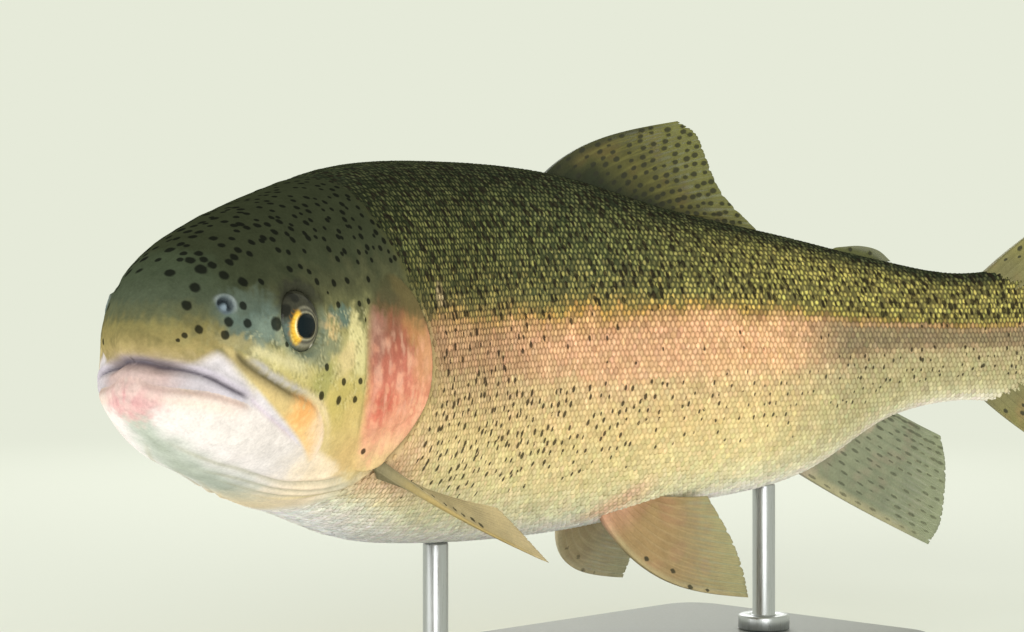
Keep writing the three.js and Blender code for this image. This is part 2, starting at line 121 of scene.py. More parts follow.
def skin_point(x, angle):
    """The skin at x. Angle 0 is the right side and a quarter turn is the back."""
    top, bottom, half, widest = section(x)
    cos, sin = np.cos(angle), np.sin(angle)
    upper = sin > 0
    power = np.where(upper, 2 / UPPER_FULLNESS, 2 / LOWER_FULLNESS)
    y = half * np.sign(cos) * np.abs(cos) ** power
    z = widest + np.where(upper, top - widest, widest - bottom) * np.sign(sin) * np.abs(sin) ** power
    knob = np.exp(-((z - CHIN_Z) / CHIN_SPREAD) ** 2 - (y / CHIN_SPREAD) ** 2)
    return np.stack([x - CHIN_REACH * knob * np.maximum(1 - x / SNOUT_ROUND, 0), y, z], -1)


def skin_frame(x, angle):
    """Unit vectors of the skin: outward, towards the tail and round towards larger angles."""
    inside = np.clip(x, 0.05, BODY_LENGTH - 1)
    along = skin_point(inside + 0.5, angle) - skin_point(np.maximum(inside - 0.5, 0.02), angle)
    around = skin_point(inside, angle + 0.03) - skin_point(inside, angle - 0.03)
    out = np.cross(around, along)
    out /= np.linalg.norm(out, axis=-1, keepdims=True)
    along /= np.linalg.norm(along, axis=-1, keepdims=True)
    return out, along, np.cross(along, out)


def angle_at(x, z):
    """The angle of the right side's skin at that height."""
    top, bottom, _, widest = section(x)
    up = np.clip((z - widest) / np.maximum(top - widest, 0.01), 0, 1) ** (UPPER_FULLNESS / 2)
    down = np.clip((widest - z) / np.maximum(widest - bottom, 0.01), 0, 1) ** (LOWER_FULLNESS / 2)
    return np.arcsin(up) - np.arcsin(down)


def heading_at(x):
    """The way that the spine points at x, in radians from the shared frame's +X."""
    return np.radians(HEAD_HEADING + (TAIL_HEADING - HEAD_HEADING) * ease(BEND_START, BEND_END, x))


spine_turns = heading_at(np.arange(0.5, BODY_LENGTH + 80))
spine_x = SNOUT_X + np.concatenate([[0], np.cumsum(np.cos(spine_turns))])
spine_y = SNOUT_Y + np.concatenate([[0], np.cumsum(np.sin(spine_turns))])


def bent(points):
    """Straight-fish millimetres to the shared frame in metres."""
    x, y, z = points.T
    heading = heading_at(x)
    stations = np.arange(len(spine_x))
    ahead = np.minimum(x, 0)
    placed_x = np.interp(x, stations, spine_x) + ahead * np.cos(heading) - y * np.sin(heading)
    placed_y = np.interp(x, stations, spine_y) + ahead * np.sin(heading) + y * np.cos(heading)
    placed_z = z + AXIS_HEIGHT + math.tan(math.radians(NOSE_DOWN)) * (x - LEVEL_X)
    return np.stack([placed_x, placed_y, placed_z], -1) / 1000


def smooth_curve(points, at, closed=False):
    """Points at places from 0 to 1 on a smooth curve through the given ones."""
    p = np.array(points, float)
    count = len(p) if closed else len(p) - 1
    if closed:
        p = np.vstack([p[-1], p, p[0], p[1]])
    else:
        p = np.vstack([2 * p[0] - p[1], p, 2 * p[-1] - p[-2]])
    place = np.clip(at, 0, 1) * count
    i = np.minimum(place.astype(int), count - 1)
    t = (place - i)[:, None]
    p0, p1, p2, p3 = p[i], p[i + 1], p[i + 2], p[i + 3]
    d0, d1, d2 = (np.sqrt(np.linalg.norm(b - a, axis=1))[:, None]
                  for a, b in ((p0, p1), (p1, p2), (p2, p3)))
    leave = ((p1 - p0) / d0 - (p2 - p0) / (d0 + d1) + (p2 - p1) / d1) * d1
    arrive = ((p2 - p1) / d1 - (p3 - p1) / (d1 + d2) + (p3 - p2) / d2) * d1
    return ((2 * t ** 3 - 3 * t ** 2 + 1) * p1 + (t ** 3 - 2 * t ** 2 + t) * leave
            + (3 * t ** 2 - 2 * t ** 3) * p2 + (t ** 3 - t ** 2) * arrive)


def make_piece(name, points, face_sets, smooth=True, layers=(), unwrap=None):
    """A mesh object from points in metres and arrays of faces. Layers are (name, per-point values)."""
    mesh = bpy.data.meshes.new(name)
    corners = np.concatenate([faces.ravel() for faces in face_sets])
    sizes = np.concatenate([np.full(len(faces), faces.shape[1]) for faces in face_sets])
    mesh.vertices.add(len(points))
    mesh.vertices.foreach_set("co", np.ascontiguousarray(points, np.float32).ravel())
    mesh.loops.add(len(corners))
    mesh.loops.foreach_set("vertex_index", corners.astype(np.int32))
    mesh.polygons.add(len(sizes))
    mesh.polygons.foreach_set("loop_start", np.concatenate([[0], np.cumsum(sizes)[:-1]]).astype(np.int32))
    mesh.update(calc_edges=True)
    mesh.polygons.foreach_set("use_smooth", np.full(len(sizes), smooth))
    for layer, values in layers:
        if values.ndim == 2:
            attribute = mesh.attributes.new(layer, "FLOAT_COLOR", "POINT")
            opaque = np.concatenate([values, np.ones((len(values), 1))], 1)
            attribute.data.foreach_set("color", opaque.astype(np.float32).ravel())
        else:
            attribute = mesh.attributes.new(layer, "FLOAT", "POINT")
            attribute.data.foreach_set("value", values.astype(np.float32))
    if unwrap is not None:
        uv = mesh.uv_layers.new(name="OFBake")
        uv.data.foreach_set("uv", unwrap.astype(np.float32).ravel())
    piece = bpy.data.objects.new(name, mesh)
    bpy.context.scene.collection.objects.link(piece)
    return piece


# ---------- colours of the living hide ----------
# A wild rainbow trout: dark olive back, rosy stripe, straw flanks and pale belly, a red gill cover and
# black spots. Skin and scales are painted with the same rules, so their markings run on unbroken.
def tone(code):
    """A colour written as six hex digits, as light values."""
    c = np.array([int(code[i:i + 2], 16) for i in (0, 2, 4)]) / 255
    return np.where(c <= 0.04045, c / 12.92, ((c + 0.055) / 1.055) ** 2.4)


def wobble(points, size, seed):
    """Smooth irregular waves between about -1 and 1, with features of about that size."""
    draw = np.random.default_rng(seed)
    total = np.zeros(len(points))
    for _ in range(14):
        across, warp = draw.normal(size=(2, 3))
        across *= draw.uniform(0.7, 1.6) * 2 * np.pi / size / np.linalg.norm(across)
        warp *= np.pi / size / np.linalg.norm(warp)
        sway = 1.4 * np.sin(points @ warp + draw.uniform(0, 6.28))
        total += np.sin(points @ across + sway + draw.uniform(0, 6.28))
    return total / 4.2


def blended(colour, target, mask):
    """A colour with another laid over it as far as the mask says."""
    return colour + (target - colour) * np.clip(mask, 0, 1)[:, None]


def layered(colour, *layers):
    """A colour with layers laid over it in turn, each a tone and its mask."""
    for code, mask in layers:
        colour = blended(colour, tone(code), mask)
    return colour


def ramp_between(keys, codes, at):
    """Colours that run through the given tones at the given keys."""
    stops = np.array([tone(code) for code in codes])
    return np.stack([np.interp(at, keys, stops[:, i]) for i in range(3)], -1)


def patch(x, z, centre_x, centre_z, half_x, half_z, soft=0.5, tilt=0.0):
    """Mask of a soft oval patch in the side view."""
    c, s = math.cos(math.radians(tilt)), math.sin(math.radians(tilt))
    u = ((x - centre_x) * c + (z - centre_z) * s) / half_x
    v = ((z - centre_z) * c - (x - centre_x) * s) / half_z
    return 1 - ease(1 - soft, 1 + soft, np.sqrt(u * u + v * v))


STRIPE_TOP = profile([[100, 14], [122, 12], [190, 11.5], [263, 16.5], [303, 16.5], [347, 14], [435, 13]])
STRIPE_BOTTOM = profile([[100, 0], [121, -2], [154, -5], [190, -8.5], [228, -10.5], [263, -10.5],
                         [303, -9.5], [347, -6], [435, -5]])
SHADE = "000000"
# Levels run from -1 at the belly to 0 and 1 at the edges of the stripe and 2 at the back. Each has the
# colour between scales and the colour of a scale's middle.
HIDE_LEVELS = [
    (-1.0, "f6f5ee", "fbfbf8"), (-0.78, "e9e5d2", "f2efe0"), (-0.62, "d2cda3", "dfdab1"),
    (-0.42, "cfc18a", "dccd97"), (-0.2, "c6b079", "d8c38a"), (-0.02, "b99e70", "d9bf8c"),
    (0.15, "b9926a", "deb68a"), (0.6, "af8560", "e2b388"), (0.82, "8d6c47", "d9ae76"),
    (0.94, "6a5c38", "cba055"), (1.05, "464930", "948b50"), (1.25, "363c28", "7d7e4a"),
    (1.5, "2b3122", "63663f"), (1.7, "282d20", "4b4f34"), (2.0, "2a3022", "3f452e"),
]


def flank_colours(x, girth, points):
    """Colours between the scales and at their middles. Girth is the angle over the side, in degrees."""
    girth = girth + 1.3 * wobble(points, 16, 3) + 0.7 * wobble(points, 5, 4)
    top, bottom = STRIPE_TOP(x), STRIPE_BOTTOM(x)
    level = np.where(girth > top, 1 + (girth - top) / (90 - top),
                     np.where(girth < bottom, (girth - bottom) / (90 + bottom),
                              (girth - bottom) / (top - bottom)))
    keys, between, at_middle = zip(*HIDE_LEVELS)
    net, middle = ramp_between(keys, between, level), ramp_between(keys, at_middle, level)

    rear, last = ease(205, 330, x), ease(280, 335, x)
    below_back = 1 - ease(0.9, 1.1, level)
    upper = ease(0.75, 1.05, level) * (1 - ease(1.35, 1.7, level))
    band = ease(-0.1, 0.2, level) * (1 - ease(0.6, 0.9, level))
    lower = ease(-0.75, -0.4, level) * (1 - ease(-0.1, 0.1, level))
    belly = 1 - ease(-0.8, -0.4, level)
    shoulder = 1 - ease(140, 200, x)
    nape = (1 - ease(140, 205, x)) * ease(1.0, 1.12, level) * (1 - ease(1.6, 1.9, level))
    bright = ease(230, 275, x) * (1 - ease(290, 325, x)) * band
    scar = patch(x, girth, 118.5, 17.5, 2.6, 3.2, 0.5, 35) * ease(-0.9, 0.3, wobble(points, 4, 5))
    breast = (1 - ease(104, 128, x)) * (1 - ease(-30, -14, girth)) * ease(-62, -46, girth)
    fin_root = patch(x, girth, 229, -59, 15, 6, 0.6, 38)
    # Where the levels change along the body: a mask, the colour between scales and that of their middles.
    for mask, dark_tone, light_tone in (
            (0.8 * rear * upper, "66603a", "b9ae5c"), (0.85 * last * band, "6f6850", "988f69"),
            (0.6 * last * lower, "98966f", "b9b78c"), (0.55 * last * belly, "c3b896", "d3c9a8"),
            ((0.1 * ease(285, 305, x) + 0.14 * ease(310, 345, x)) * below_back, SHADE, SHADE),
            (0.6 * shoulder * ease(-0.3, 0.1, level) * below_back, "62503a", "a98a62"),
            (0.24 * nape, SHADE, SHADE), (0.6 * bright, "bd9464", "efc291"), (0.8 * scar, "8c7a58", "c0ab84"),
            (0.6 * breast, "b98f6d", "dcb493"), (0.7 * fin_root, "c4a27e", "eac3a0")):
        net, middle = layered(net, (dark_tone, mask)), layered(middle, (light_tone, mask))
    return net, middle


def nearest(points, line):
    """Distance to a polyline, place along it from 0 to 1, and whether points lie over it (+) or under."""
    best = np.full(len(points), 1e9)
    along, over = np.zeros(len(points)), np.ones(len(points))
    lengths = np.linalg.norm(np.diff(line, axis=0), axis=1)
    starts = np.concatenate([[0], np.cumsum(lengths)]) / lengths.sum()
    for a, b, s0, s1 in zip(line[:-1], line[1:], starts[:-1], starts[1:]):
        u = np.clip((points - a) @ (b - a) / ((b - a) @ (b - a)), 0, 1)
        away = points - a - u[:, None] * (b - a)
        distance = np.linalg.norm(away, axis=1)
        closer = distance < best
        best[closer] = distance[closer]
        along[closer] = (s0 + (s1 - s0) * u)[closer]
        cross = (b[0] - a[0]) * away[:, -1] - (b[-1] - a[-1]) * away[:, 0]
        over[closer] = np.where(cross >= 0, 1, -1)[closer]
    return best, along, over


def inside_outline(x, z, outline):
    """Signed distance in the side view to a closed outline, positive inside."""
    points = np.stack([x, z], -1)
    distance, _, _ = nearest(points, np.vstack([outline, outline[:1]]))
    within = np.zeros(len(x), bool)
    for (x0, z0), (x1, z1) in zip(outline, np.roll(outline, -1, axis=0)):
        crosses = (z0 > z) != (z1 > z)
        with np.errstate(divide="ignore", invalid="ignore"):
            within ^= crosses & (x < (x1 - x0) * (z - z0) / (z1 - z0) + x0)
    return np.where(within, distance, -distance)


# ---------- lines of the head ----------
# Edges of the bony plates, folds of the hide and the openings of mouth, eye and nostril, which the skin is
# pressed to. Points are [distance behind the snout, height] as seen from the side.
MOUTH = [[0.4, -0.5], [3, -1.1], [6, -1.7], [9.2, -2.4], [12.7, -3.4], [16.7, -4.9], [19, -6.1], [22.9, -8.1],
         [27, -10]]
LIP_LINE = [[26.5, -9.8], [28.5, -11.3], [33, -14], [42.5, -18.5], [51.5, -23]]
LIP_FOLD = [[1.6, -4.1], [4.3, -5.8], [7.9, -6.7], [11.6, -7.1], [16.3, -7.8], [20.4, -8.9], [25.5, -10.8],
            [29, -12.8]]
UPPER_LIP = [[0.6, 0.1], [3.1, -0.3], [6, -0.7], [8.2, -0.9], [10.2, -0.5], [12.7, 0.7], [15.9, 2],
             [18.1, 2.9]]
MAXILLA = [[19.5, 3.4], [22.5, 1.2], [27.1, -1.9], [32.3, -5.2], [39.3, -8.2], [46.4, -10.1], [51.7, -12.5],
           [55.7, -15.9], [58.5, -19.7], [60, -24], [59.5, -27.5], [56.1, -25.4], [49.1, -20.6],
           [42.1, -16.4], [32.9, -11], [26, -5.3], [21.4, -0.6]]
GILL_COVER = [[76.3, 11.3], [78.1, 15.4], [84.2, 19.8], [90.4, 22.2], [95.6, 21.3], [100.4, 17.5],
              [104.4, 12.2], [107.8, 5.3], [109.2, -2.8], [108, -11], [103.8, -18.2], [98.2, -23.9],
              [93.2, -28.2], [88, -31.2], [79.4, -30.5], [75, -19.6], [74.5, -4.7]]
WHITE_EDGE = [[3, -0.5], [8.2, -1.2], [11.6, 0.1], [14.6, 1.5], [18.1, 2.4], [21.4, -0.6], [26, -5.3],
              [32.9, -11], [42.1, -16.4], [49.1, -20.6], [57, -26]]
LEAF = [[23.4, 1.4], [27.1, -0.8], [32.3, -4], [39.3, -6.8], [46.4, -9], [52.6, -11.6], [57.4, -15.5],
        [61, -20], [63, -25]]
CHEEK_EDGE = [[79, 15.5], [76.7, 10], [75.4, 2.9], [75.2, -4.7], [75, -11.1], [75.4, -17.8], [77.5, -25.4]]
COVER_SEAM = [[77, -17], [84, -20.5], [93, -20], [102, -16.5]]
MAXILLA_GROOVE = [[21.5, 2], [24.4, -0.6], [27.7, -3], [32.3, -5.3], [39.3, -8.3], [46.4, -10.2], [52, -13],
                  [56.5, -17.5]]
CHEEK_FOLD = [[25.5, 3], [29.4, 1.5], [35.4, -0.5], [43, -2.4], [50, -5]]
SKULL_FOLD = [[16, 17], [24, 18.5], [33, 21], [42, 23.5], [54, 24], [66, 21.5], [78, 20.5]]
# Folds under the head are [distance behind the snout, degrees over the side]; -90 is the middle below.
JAW_FOLD = [[14.6, -82], [20.9, -76], [26, -71], [36.7, -66], [46, -65], [54.3, -62.5], [66.2, -55],
            [75.4, -48.7], [82, -43.5]]
RAY_FOLDS = [[[29.4, -84], [39.3, -76], [46.9, -72], [56.5, -67], [65.8, -61], [74.5, -54], [84, -46.5]],
             [[38.7, -86], [48.2, -80], [57, -74], [67.5, -65], [76.5, -57], [87, -48]]]
MEMBRANE_EDGE = [[45, -90], [52.6, -86.5], [57.9, -80], [63.6, -73], [68.8, -66.5], [75, -60], [81.6, -53.5],
                 [87.7, -47], [92, -41], [95, -36]]
SCALES_START = [[93, 70], [93.5, 48], [94, 38], [96, 31.6], [98.7, 26.1], [101.8, 20.5], [105.7, 14.7],
                [109, 9.6], [111.6, 4.4], [113, -2.8], [112, -10.1], [108.6, -17], [103.5, -23.5],
                [98.5, -28.5], [92, -33], [86, -36.5], [78, -40], [70, -43], [62, -47]]

EYE_X, EYE_ANGLE = 46, 17
EYE_RADIUS, EYE_DEPTH, EYE_PROUD = 8.4, 5.2, 2
NOSTRIL_X, NOSTRIL_Z = 21.9, 13.3


def skin_line(points, steps=24):
    """A smooth line through side-view points, laid on the right side's skin."""
    x, z = smooth_curve(points, np.linspace(0, 1, steps)).T
    return skin_point(x, angle_at(x, z))


def under_line(points, steps=24):
    """A smooth line through [x, degrees] points, laid on the right side's skin."""
    x, degrees = smooth_curve(points, np.linspace(0, 1, steps)).T
    return skin_point(x, np.radians(degrees))


SIDE_LINES = {"mouth": MOUTH, "lip": LIP_FOLD, "upper_lip": UPPER_LIP, "leaf": LEAF, "lip_line": LIP_LINE,
              "cheek": CHEEK_EDGE, "seam": COVER_SEAM, "groove": MAXILLA_GROOVE, "cheek_fold": CHEEK_FOLD,
              "skull": SKULL_FOLD, "white": WHITE_EDGE}
UNDER_LINES = {"jaw": JAW_FOLD, "ray_0": RAY_FOLDS[0], "ray_1": RAY_FOLDS[1], "membrane": MEMBRANE_EDGE}
maxilla_outline = smooth_curve(MAXILLA, np.arange(48) / 48, closed=True)
cover_outline = smooth_curve(GILL_COVER, np.arange(48) / 48, closed=True)
eye_centre = skin_point(np.array([EYE_X]), np.radians([EYE_ANGLE]))[0]
eye_out, eye_back, eye_up = (v[0] for v in skin_frame(np.array([EYE_X]), np.radians([EYE_ANGLE])))


def head_masks(points):
    """Distances that shape and colour the head, for points with the left side folded onto the right."""
    x, z = points[:, 0], points[:, 2]
    masks = {"cover": inside_outline(x, z, cover_outline), "maxilla": inside_outline(x, z, maxilla_outline)}
    for name, line in SIDE_LINES.items():
        laid = skin_line(line)
        if name in ("mouth", "lip"):
            laid = np.vstack([laid[:1] * [1, 0, 1] - [0.3, 0, 0], laid])
        masks[name] = nearest(points, laid)
    for name, line in UNDER_LINES.items():
        masks[name] = nearest(points, under_line(line))
    aside = points - eye_centre
    masks["eye"] = np.where(points[:, 1] > 4, np.hypot(aside @ eye_back, aside @ eye_up), 99)
    masks["eye_up"], masks["eye_back"] = aside @ eye_up, aside @ eye_back
    nostril = skin_point(np.array([NOSTRIL_X]), angle_at(np.array([NOSTRIL_X]), NOSTRIL_Z))[0]
    masks["nostril"] = np.linalg.norm(points - nostril, axis=1)
    masks["nostril_x"], masks["nostril_z"] = x - NOSTRIL_X, z - NOSTRIL_Z
    return masks


def ridge(distance, width):
    """1 on a line, falling off to nothing about two widths away."""
    return np.exp(-(distance / width) ** 2)


def ends(along, first=0.12, last=0.12):
    """Fades a line in and out at its two ends."""
    return ease(0, first, along) * (1 - ease(1 - last, 1, along))


def mouth_relief(x, z, m):
    """Maxilla, lips and slit of the mouth."""
    lift = 0.8 * ease(16, 44, x) * (1 - 0.7 * ease(49, 60, x)) * ease(-1.1, 1.4, m["maxilla"])
    d, along, _ = m["mouth"]
    gape = 1 - ease(0.2, 0.5, along)
    slit = 0.55 + 0.75 * gape
    lift -= (1.1 + 1.3 * gape) * ridge(d, slit) * (1 - ease(0.93, 1, along))
    lift += 0.55 * ridge(d - slit - 1.1, 0.9) * ends(along, 0.02, 0.15)
    d, along, over = m["upper_lip"]
    under_lip = ease(-0.8, 0.4, -d * over) * (1 - ease(2.5, 5, d)) * ease(0.1, 0.4, along)
    lift -= 0.45 * under_lip * (z > -6) * (z < 5)
    d, along, over = m["lip"]
    return lift + 0.3 * ridge(d + 1.6 * over, 1.4) * ends(along, 0.15, 0.1)


def cover_relief(points, m):
    """The gill cover: its free rear edge, the seam between its plates and the streaks in them."""
    x, _, z = points.T
    edge = m["cover"]
    behind = ease(80, 88, x)
    free_edge = ease(84, 95, x - 0.5 * z)
    lift = 1.0 * ease(-0.15, 0.5, edge) * (1 - (1 - free_edge) * (1 - ease(0, 9, edge))) * ease(76, 82, x)
    lift -= (1.7 * ridge(edge + 1.1, 1.0) + 0.9 * ridge(edge + 2.6, 1.6)) * behind * free_edge
    d, along, _ = m["cheek"]
    lift += 0.2 * ridge(d - 2.5, 1.6) * ends(along, 0.15, 0.2) * (x < 78)
    lift -= 0.35 * ridge(m["seam"][0], 0.7) * ends(m["seam"][1]) * (edge > 0)
    streaks = np.sin(1.9 * (x - 0.25 * z) + 1.5 * wobble(points, 9, 11)) * wobble(points, 14, 12)
    return lift + 0.05 * streaks * ease(0, 3, edge)


def throat_relief(y, m):
    """Folds of the gill membrane under the jaw, which fade out towards the middle below."""
    aside = ease(1.5, 7, y)
    lift = np.zeros(len(y))
    for name, depth, width in (("jaw", 0.8, 1.0), ("ray_0", 0.5, 0.9), ("ray_1", 0.5, 0.9)):
        d, along, _ = m[name]
        late = ease(0.25, 0.65, along) * (1 - ease(0.85, 1, along)) * aside
        lift += (0.35 * ridge(d - 2.0, 1.2) - depth * ridge(d, width)) * late
    d, along, over = m["membrane"]
    above = d * over
    late = ease(0.35, 0.7, along) * (1 - ease(0.94, 1, along)) * aside
    lift += 0.75 * ease(-0.3, 0.4, above) * (1 - ease(3, 9, above)) * late
    return lift - 1.0 * ridge(above + 1.0, 0.9) * late


def socket_relief(m):
    """The rim, brow and hole of the eye socket, and the nostril with its flap."""
    rho = m["eye"]
    brow = ease(-2, 6, m["eye_up"])
    lift = (0.15 + 0.55 * brow) * ridge(rho - 9.9, 1.6)
    lift -= (0.9 - 0.5 * brow) * (1 - ease(8.0, 9.4, rho))
    lift -= 6.0 * (1 - ease(7.4, 8.1, rho))
    lift -= 0.2 * ridge(rho - 12.2, 1.0) * (1 - brow)
    u, v = m["nostril_x"], m["nostril_z"]
    arc = ease(-2.5, 1, v + 0.7 * u)
    lift += 0.65 * ridge(m["nostril"] - 2.6, 0.7) * (0.15 + 0.85 * arc)
    lift -= 1.6 * ridge(m["nostril"] - 1.5, 0.55) * arc
    return lift + 0.3 * ridge(np.hypot(u + 0.7, v + 0.7), 1.1)


# Furrows (-) and folds (+) along the lines: height, width, and the shares that fade at the two ends.
LINE_RELIEF = {
    "groove": (-0.9, 0.9, 0.1, 0.35), "leaf": (0.3, 1.1, 0.15, 0.5), "lip_line": (-0.35, 0.8, 0.02, 0.4),
    "cheek_fold": (0.45, 2.4, 0.2, 0.3), "lip": (-0.35, 0.8, 0.15, 0.1), "cheek": (-0.32, 1.2, 0.15, 0.2),
    "skull": (-0.3, 1.5, 0.2, 0.2),
}


def head_relief(points, m):
    """How far the head's skin stands off the smooth form, in millimetres."""
    x, y, z = points.T
    lift = mouth_relief(x, z, m) + cover_relief(points, m) + throat_relief(y, m) + socket_relief(m)
    for name, (height, width, first, last) in LINE_RELIEF.items():
        lift += height * ridge(m[name][0], width) * ends(m[name][1], first, last)
    knob = np.exp(-((z - CHIN_Z) / 6) ** 2 - (y / 8) ** 2) * (1 - ease(6, 13, x))
    lift += knob * (0.25 * wobble(points, 3.2, 21) + 0.12 * wobble(points, 1.6, 22))
    lift += 0.07 * wobble(points, 13, 23) + 0.03 * wobble(points, 4, 24)
    lift += 0.5 * ridge(z + 11, 4) * (1 - ease(4, 13, x))
    return lift - 1.3 * (1 - ease(1, 14, x))


def oval(m, *place):
    """A soft oval patch with a wavy rim on the head: its middle, half sizes, softness and tilt."""
    return patch(m["wavy_x"], m["wavy_z"], *place)


def face_colours(colour, points, girth, m):
    """The snout, the surroundings of the eye and the cheek."""
    x, _, z = points.T
    blotch, fine = m["blotch"], m["fine"]
    snout = ramp_between([0, 3, 6, 9, 12, 16, 22, 30],
                         ["a3946b", "978959", "857a4c", "7b7448", "5a5d42", "4a523f", "434c38", "404934"],
                         z + 0.8 * fine + 0.07 * x)
    colour = blended(colour, snout, (1 - ease(19, 31, m["wavy_x"])) * ease(-4, 0, z))
    rho = m["eye"]
    lower_eye = 1 - ease(-3, 4, m["eye_up"])
    mottle = wobble(points, 1.7, 36) * ease(-0.8, 0.8, wobble(points, 7, 37))
    low = ease(-28, -8, girth)
    return layered(
        colour,
        ("8d8457", 0.6 * oval(m, 16, 6, 6, 3.5, 0.5) * ease(-0.4, 0.8, fine)),
        ("5f5b3c", 0.55 * oval(m, 17, 7, 13, 6, 0.6) * ease(-0.2, 0.9, -blotch + 0.4 * fine)),
        ("5d6c61", 0.95 * oval(m, 29, 9, 8.5, 6.5, 0.45)),
        ("7b8a79", 0.7 * oval(m, 32, 6.5, 5, 4, 0.5)),
        ("525c4c", 0.7 * oval(m, 28, 14, 8, 2.8, 0.5, 10)),
        ("958d63", 0.85 * oval(m, 22.5, 4, 5, 1.8, 0.5, -10)),
        ("33342a", 0.85 * (1 - ease(9.2, 12, rho + 0.7 * fine)) * ease(1, 6, m["eye_up"])),
        ("8a8f70", 0.85 * (1 - ease(9.5, 13.5, rho + 0.7 * fine)) * lower_eye),
        ("55665a", 0.7 * ridge(rho - 9.2, 0.9) * lower_eye),
        ("a8a382", 0.5 * ridge(rho - 10.6, 0.5) * lower_eye * ease(-0.3, 0.4, fine)),
        ("7c8266", 0.8 * oval(m, 56, 1.5, 7, 3.6, 0.4, 25)),
        ("cbc288", 0.95 * oval(m, 70.6, 3.6, 4.2, 8.6, 0.3, 8)),
        ("cebc85", 0.9 * oval(m, 64.5, -1.5, 7, 3.4, 0.4, 28)),
        ("5d7062", 0.95 * oval(m, 63.5, 11, 4.8, 2.9, 0.35)),
        ("c5ad78", 0.9 * oval(m, 59.3, 8, 3.1, 3.2, 0.4, 20) * ease(-0.9, 0.2, fine)),
        ("9c9a5c", 0.8 * oval(m, 54.5, -6, 7, 3.4, 0.5, 30)),
        ("b5a65e", 0.7 * oval(m, 65, -13, 9, 7, 0.5)),
        ("c4ac6e", 0.7 * oval(m, 71, -20, 8, 8, 0.5)),
        ("c9ab71", 0.8 * oval(m, 79, -26, 12, 6, 0.45, 15)),
        ("5c5a38", 0.45 * ease(0.15, 0.9, mottle) * low * (1 - ease(15, 28, girth)) * (x > 18)),
        ("e8dfa8", 0.3 * ease(0.15, 0.9, -mottle) * low * (girth < 18) * (x > 22)))


def maxilla_colours(colour, z, inner, m):
    """The long plate along the upper jaw, the groove over it and its pale rim, with painted shade in the
    groove and along the plate's upper edge under it.
    """
    fine = m["fine"]
    groove, along, _ = m["groove"]
    leaf, along_leaf, _ = m["leaf"]
    fold, along_fold, _ = m["cheek_fold"]
    strip = ramp_between([18, 24, 31, 38, 44, 49, 54, 58, 61],
                         ["a0926a", "b5a571", "c6b078", "d2b97d", "dfbd7f", "e4bd82", "ecd0a8", "f0dcc4",
                          "f2e2d0"], m["wavy_x"] + 0.25 * (z + 12))
    colour = layered(colour, ("cfc694", 0.85 * ridge(fold + 0.4 * fine, 1.7) * ends(along_fold, 0.1, 0.45)))
    rear_leaf = ease(0.4, 0.66, along_leaf)
    return layered(
        blended(colour, strip, inner),
        # Painted shade: a darker band along the plate's upper edge under the groove, and a dark line in the
        # groove itself.
        ("8d8059", 0.8 * ridge(groove - 0.9, 1.7) * ends(along, 0.06, 0.6) * inner),
        ("575338", 0.75 * ridge(groove - 0.1, 0.7) * ends(along, 0.04, 0.6)),
        ("dd9f5c", 0.8 * inner * oval(m, 46.5, -12.9, 7, 4, 0.85, 35) * ease(-1.6, 0.2, fine)),
        ("aeaaa4", 0.85 * ridge(leaf + 0.25 * fine, 0.95) * ease(0.02, 0.12, along_leaf) * (1 - rear_leaf)),
        ("e4cfa8", 0.55 * ridge(leaf, 1.2) * rear_leaf * (1 - ease(0.72, 1, along_leaf))))


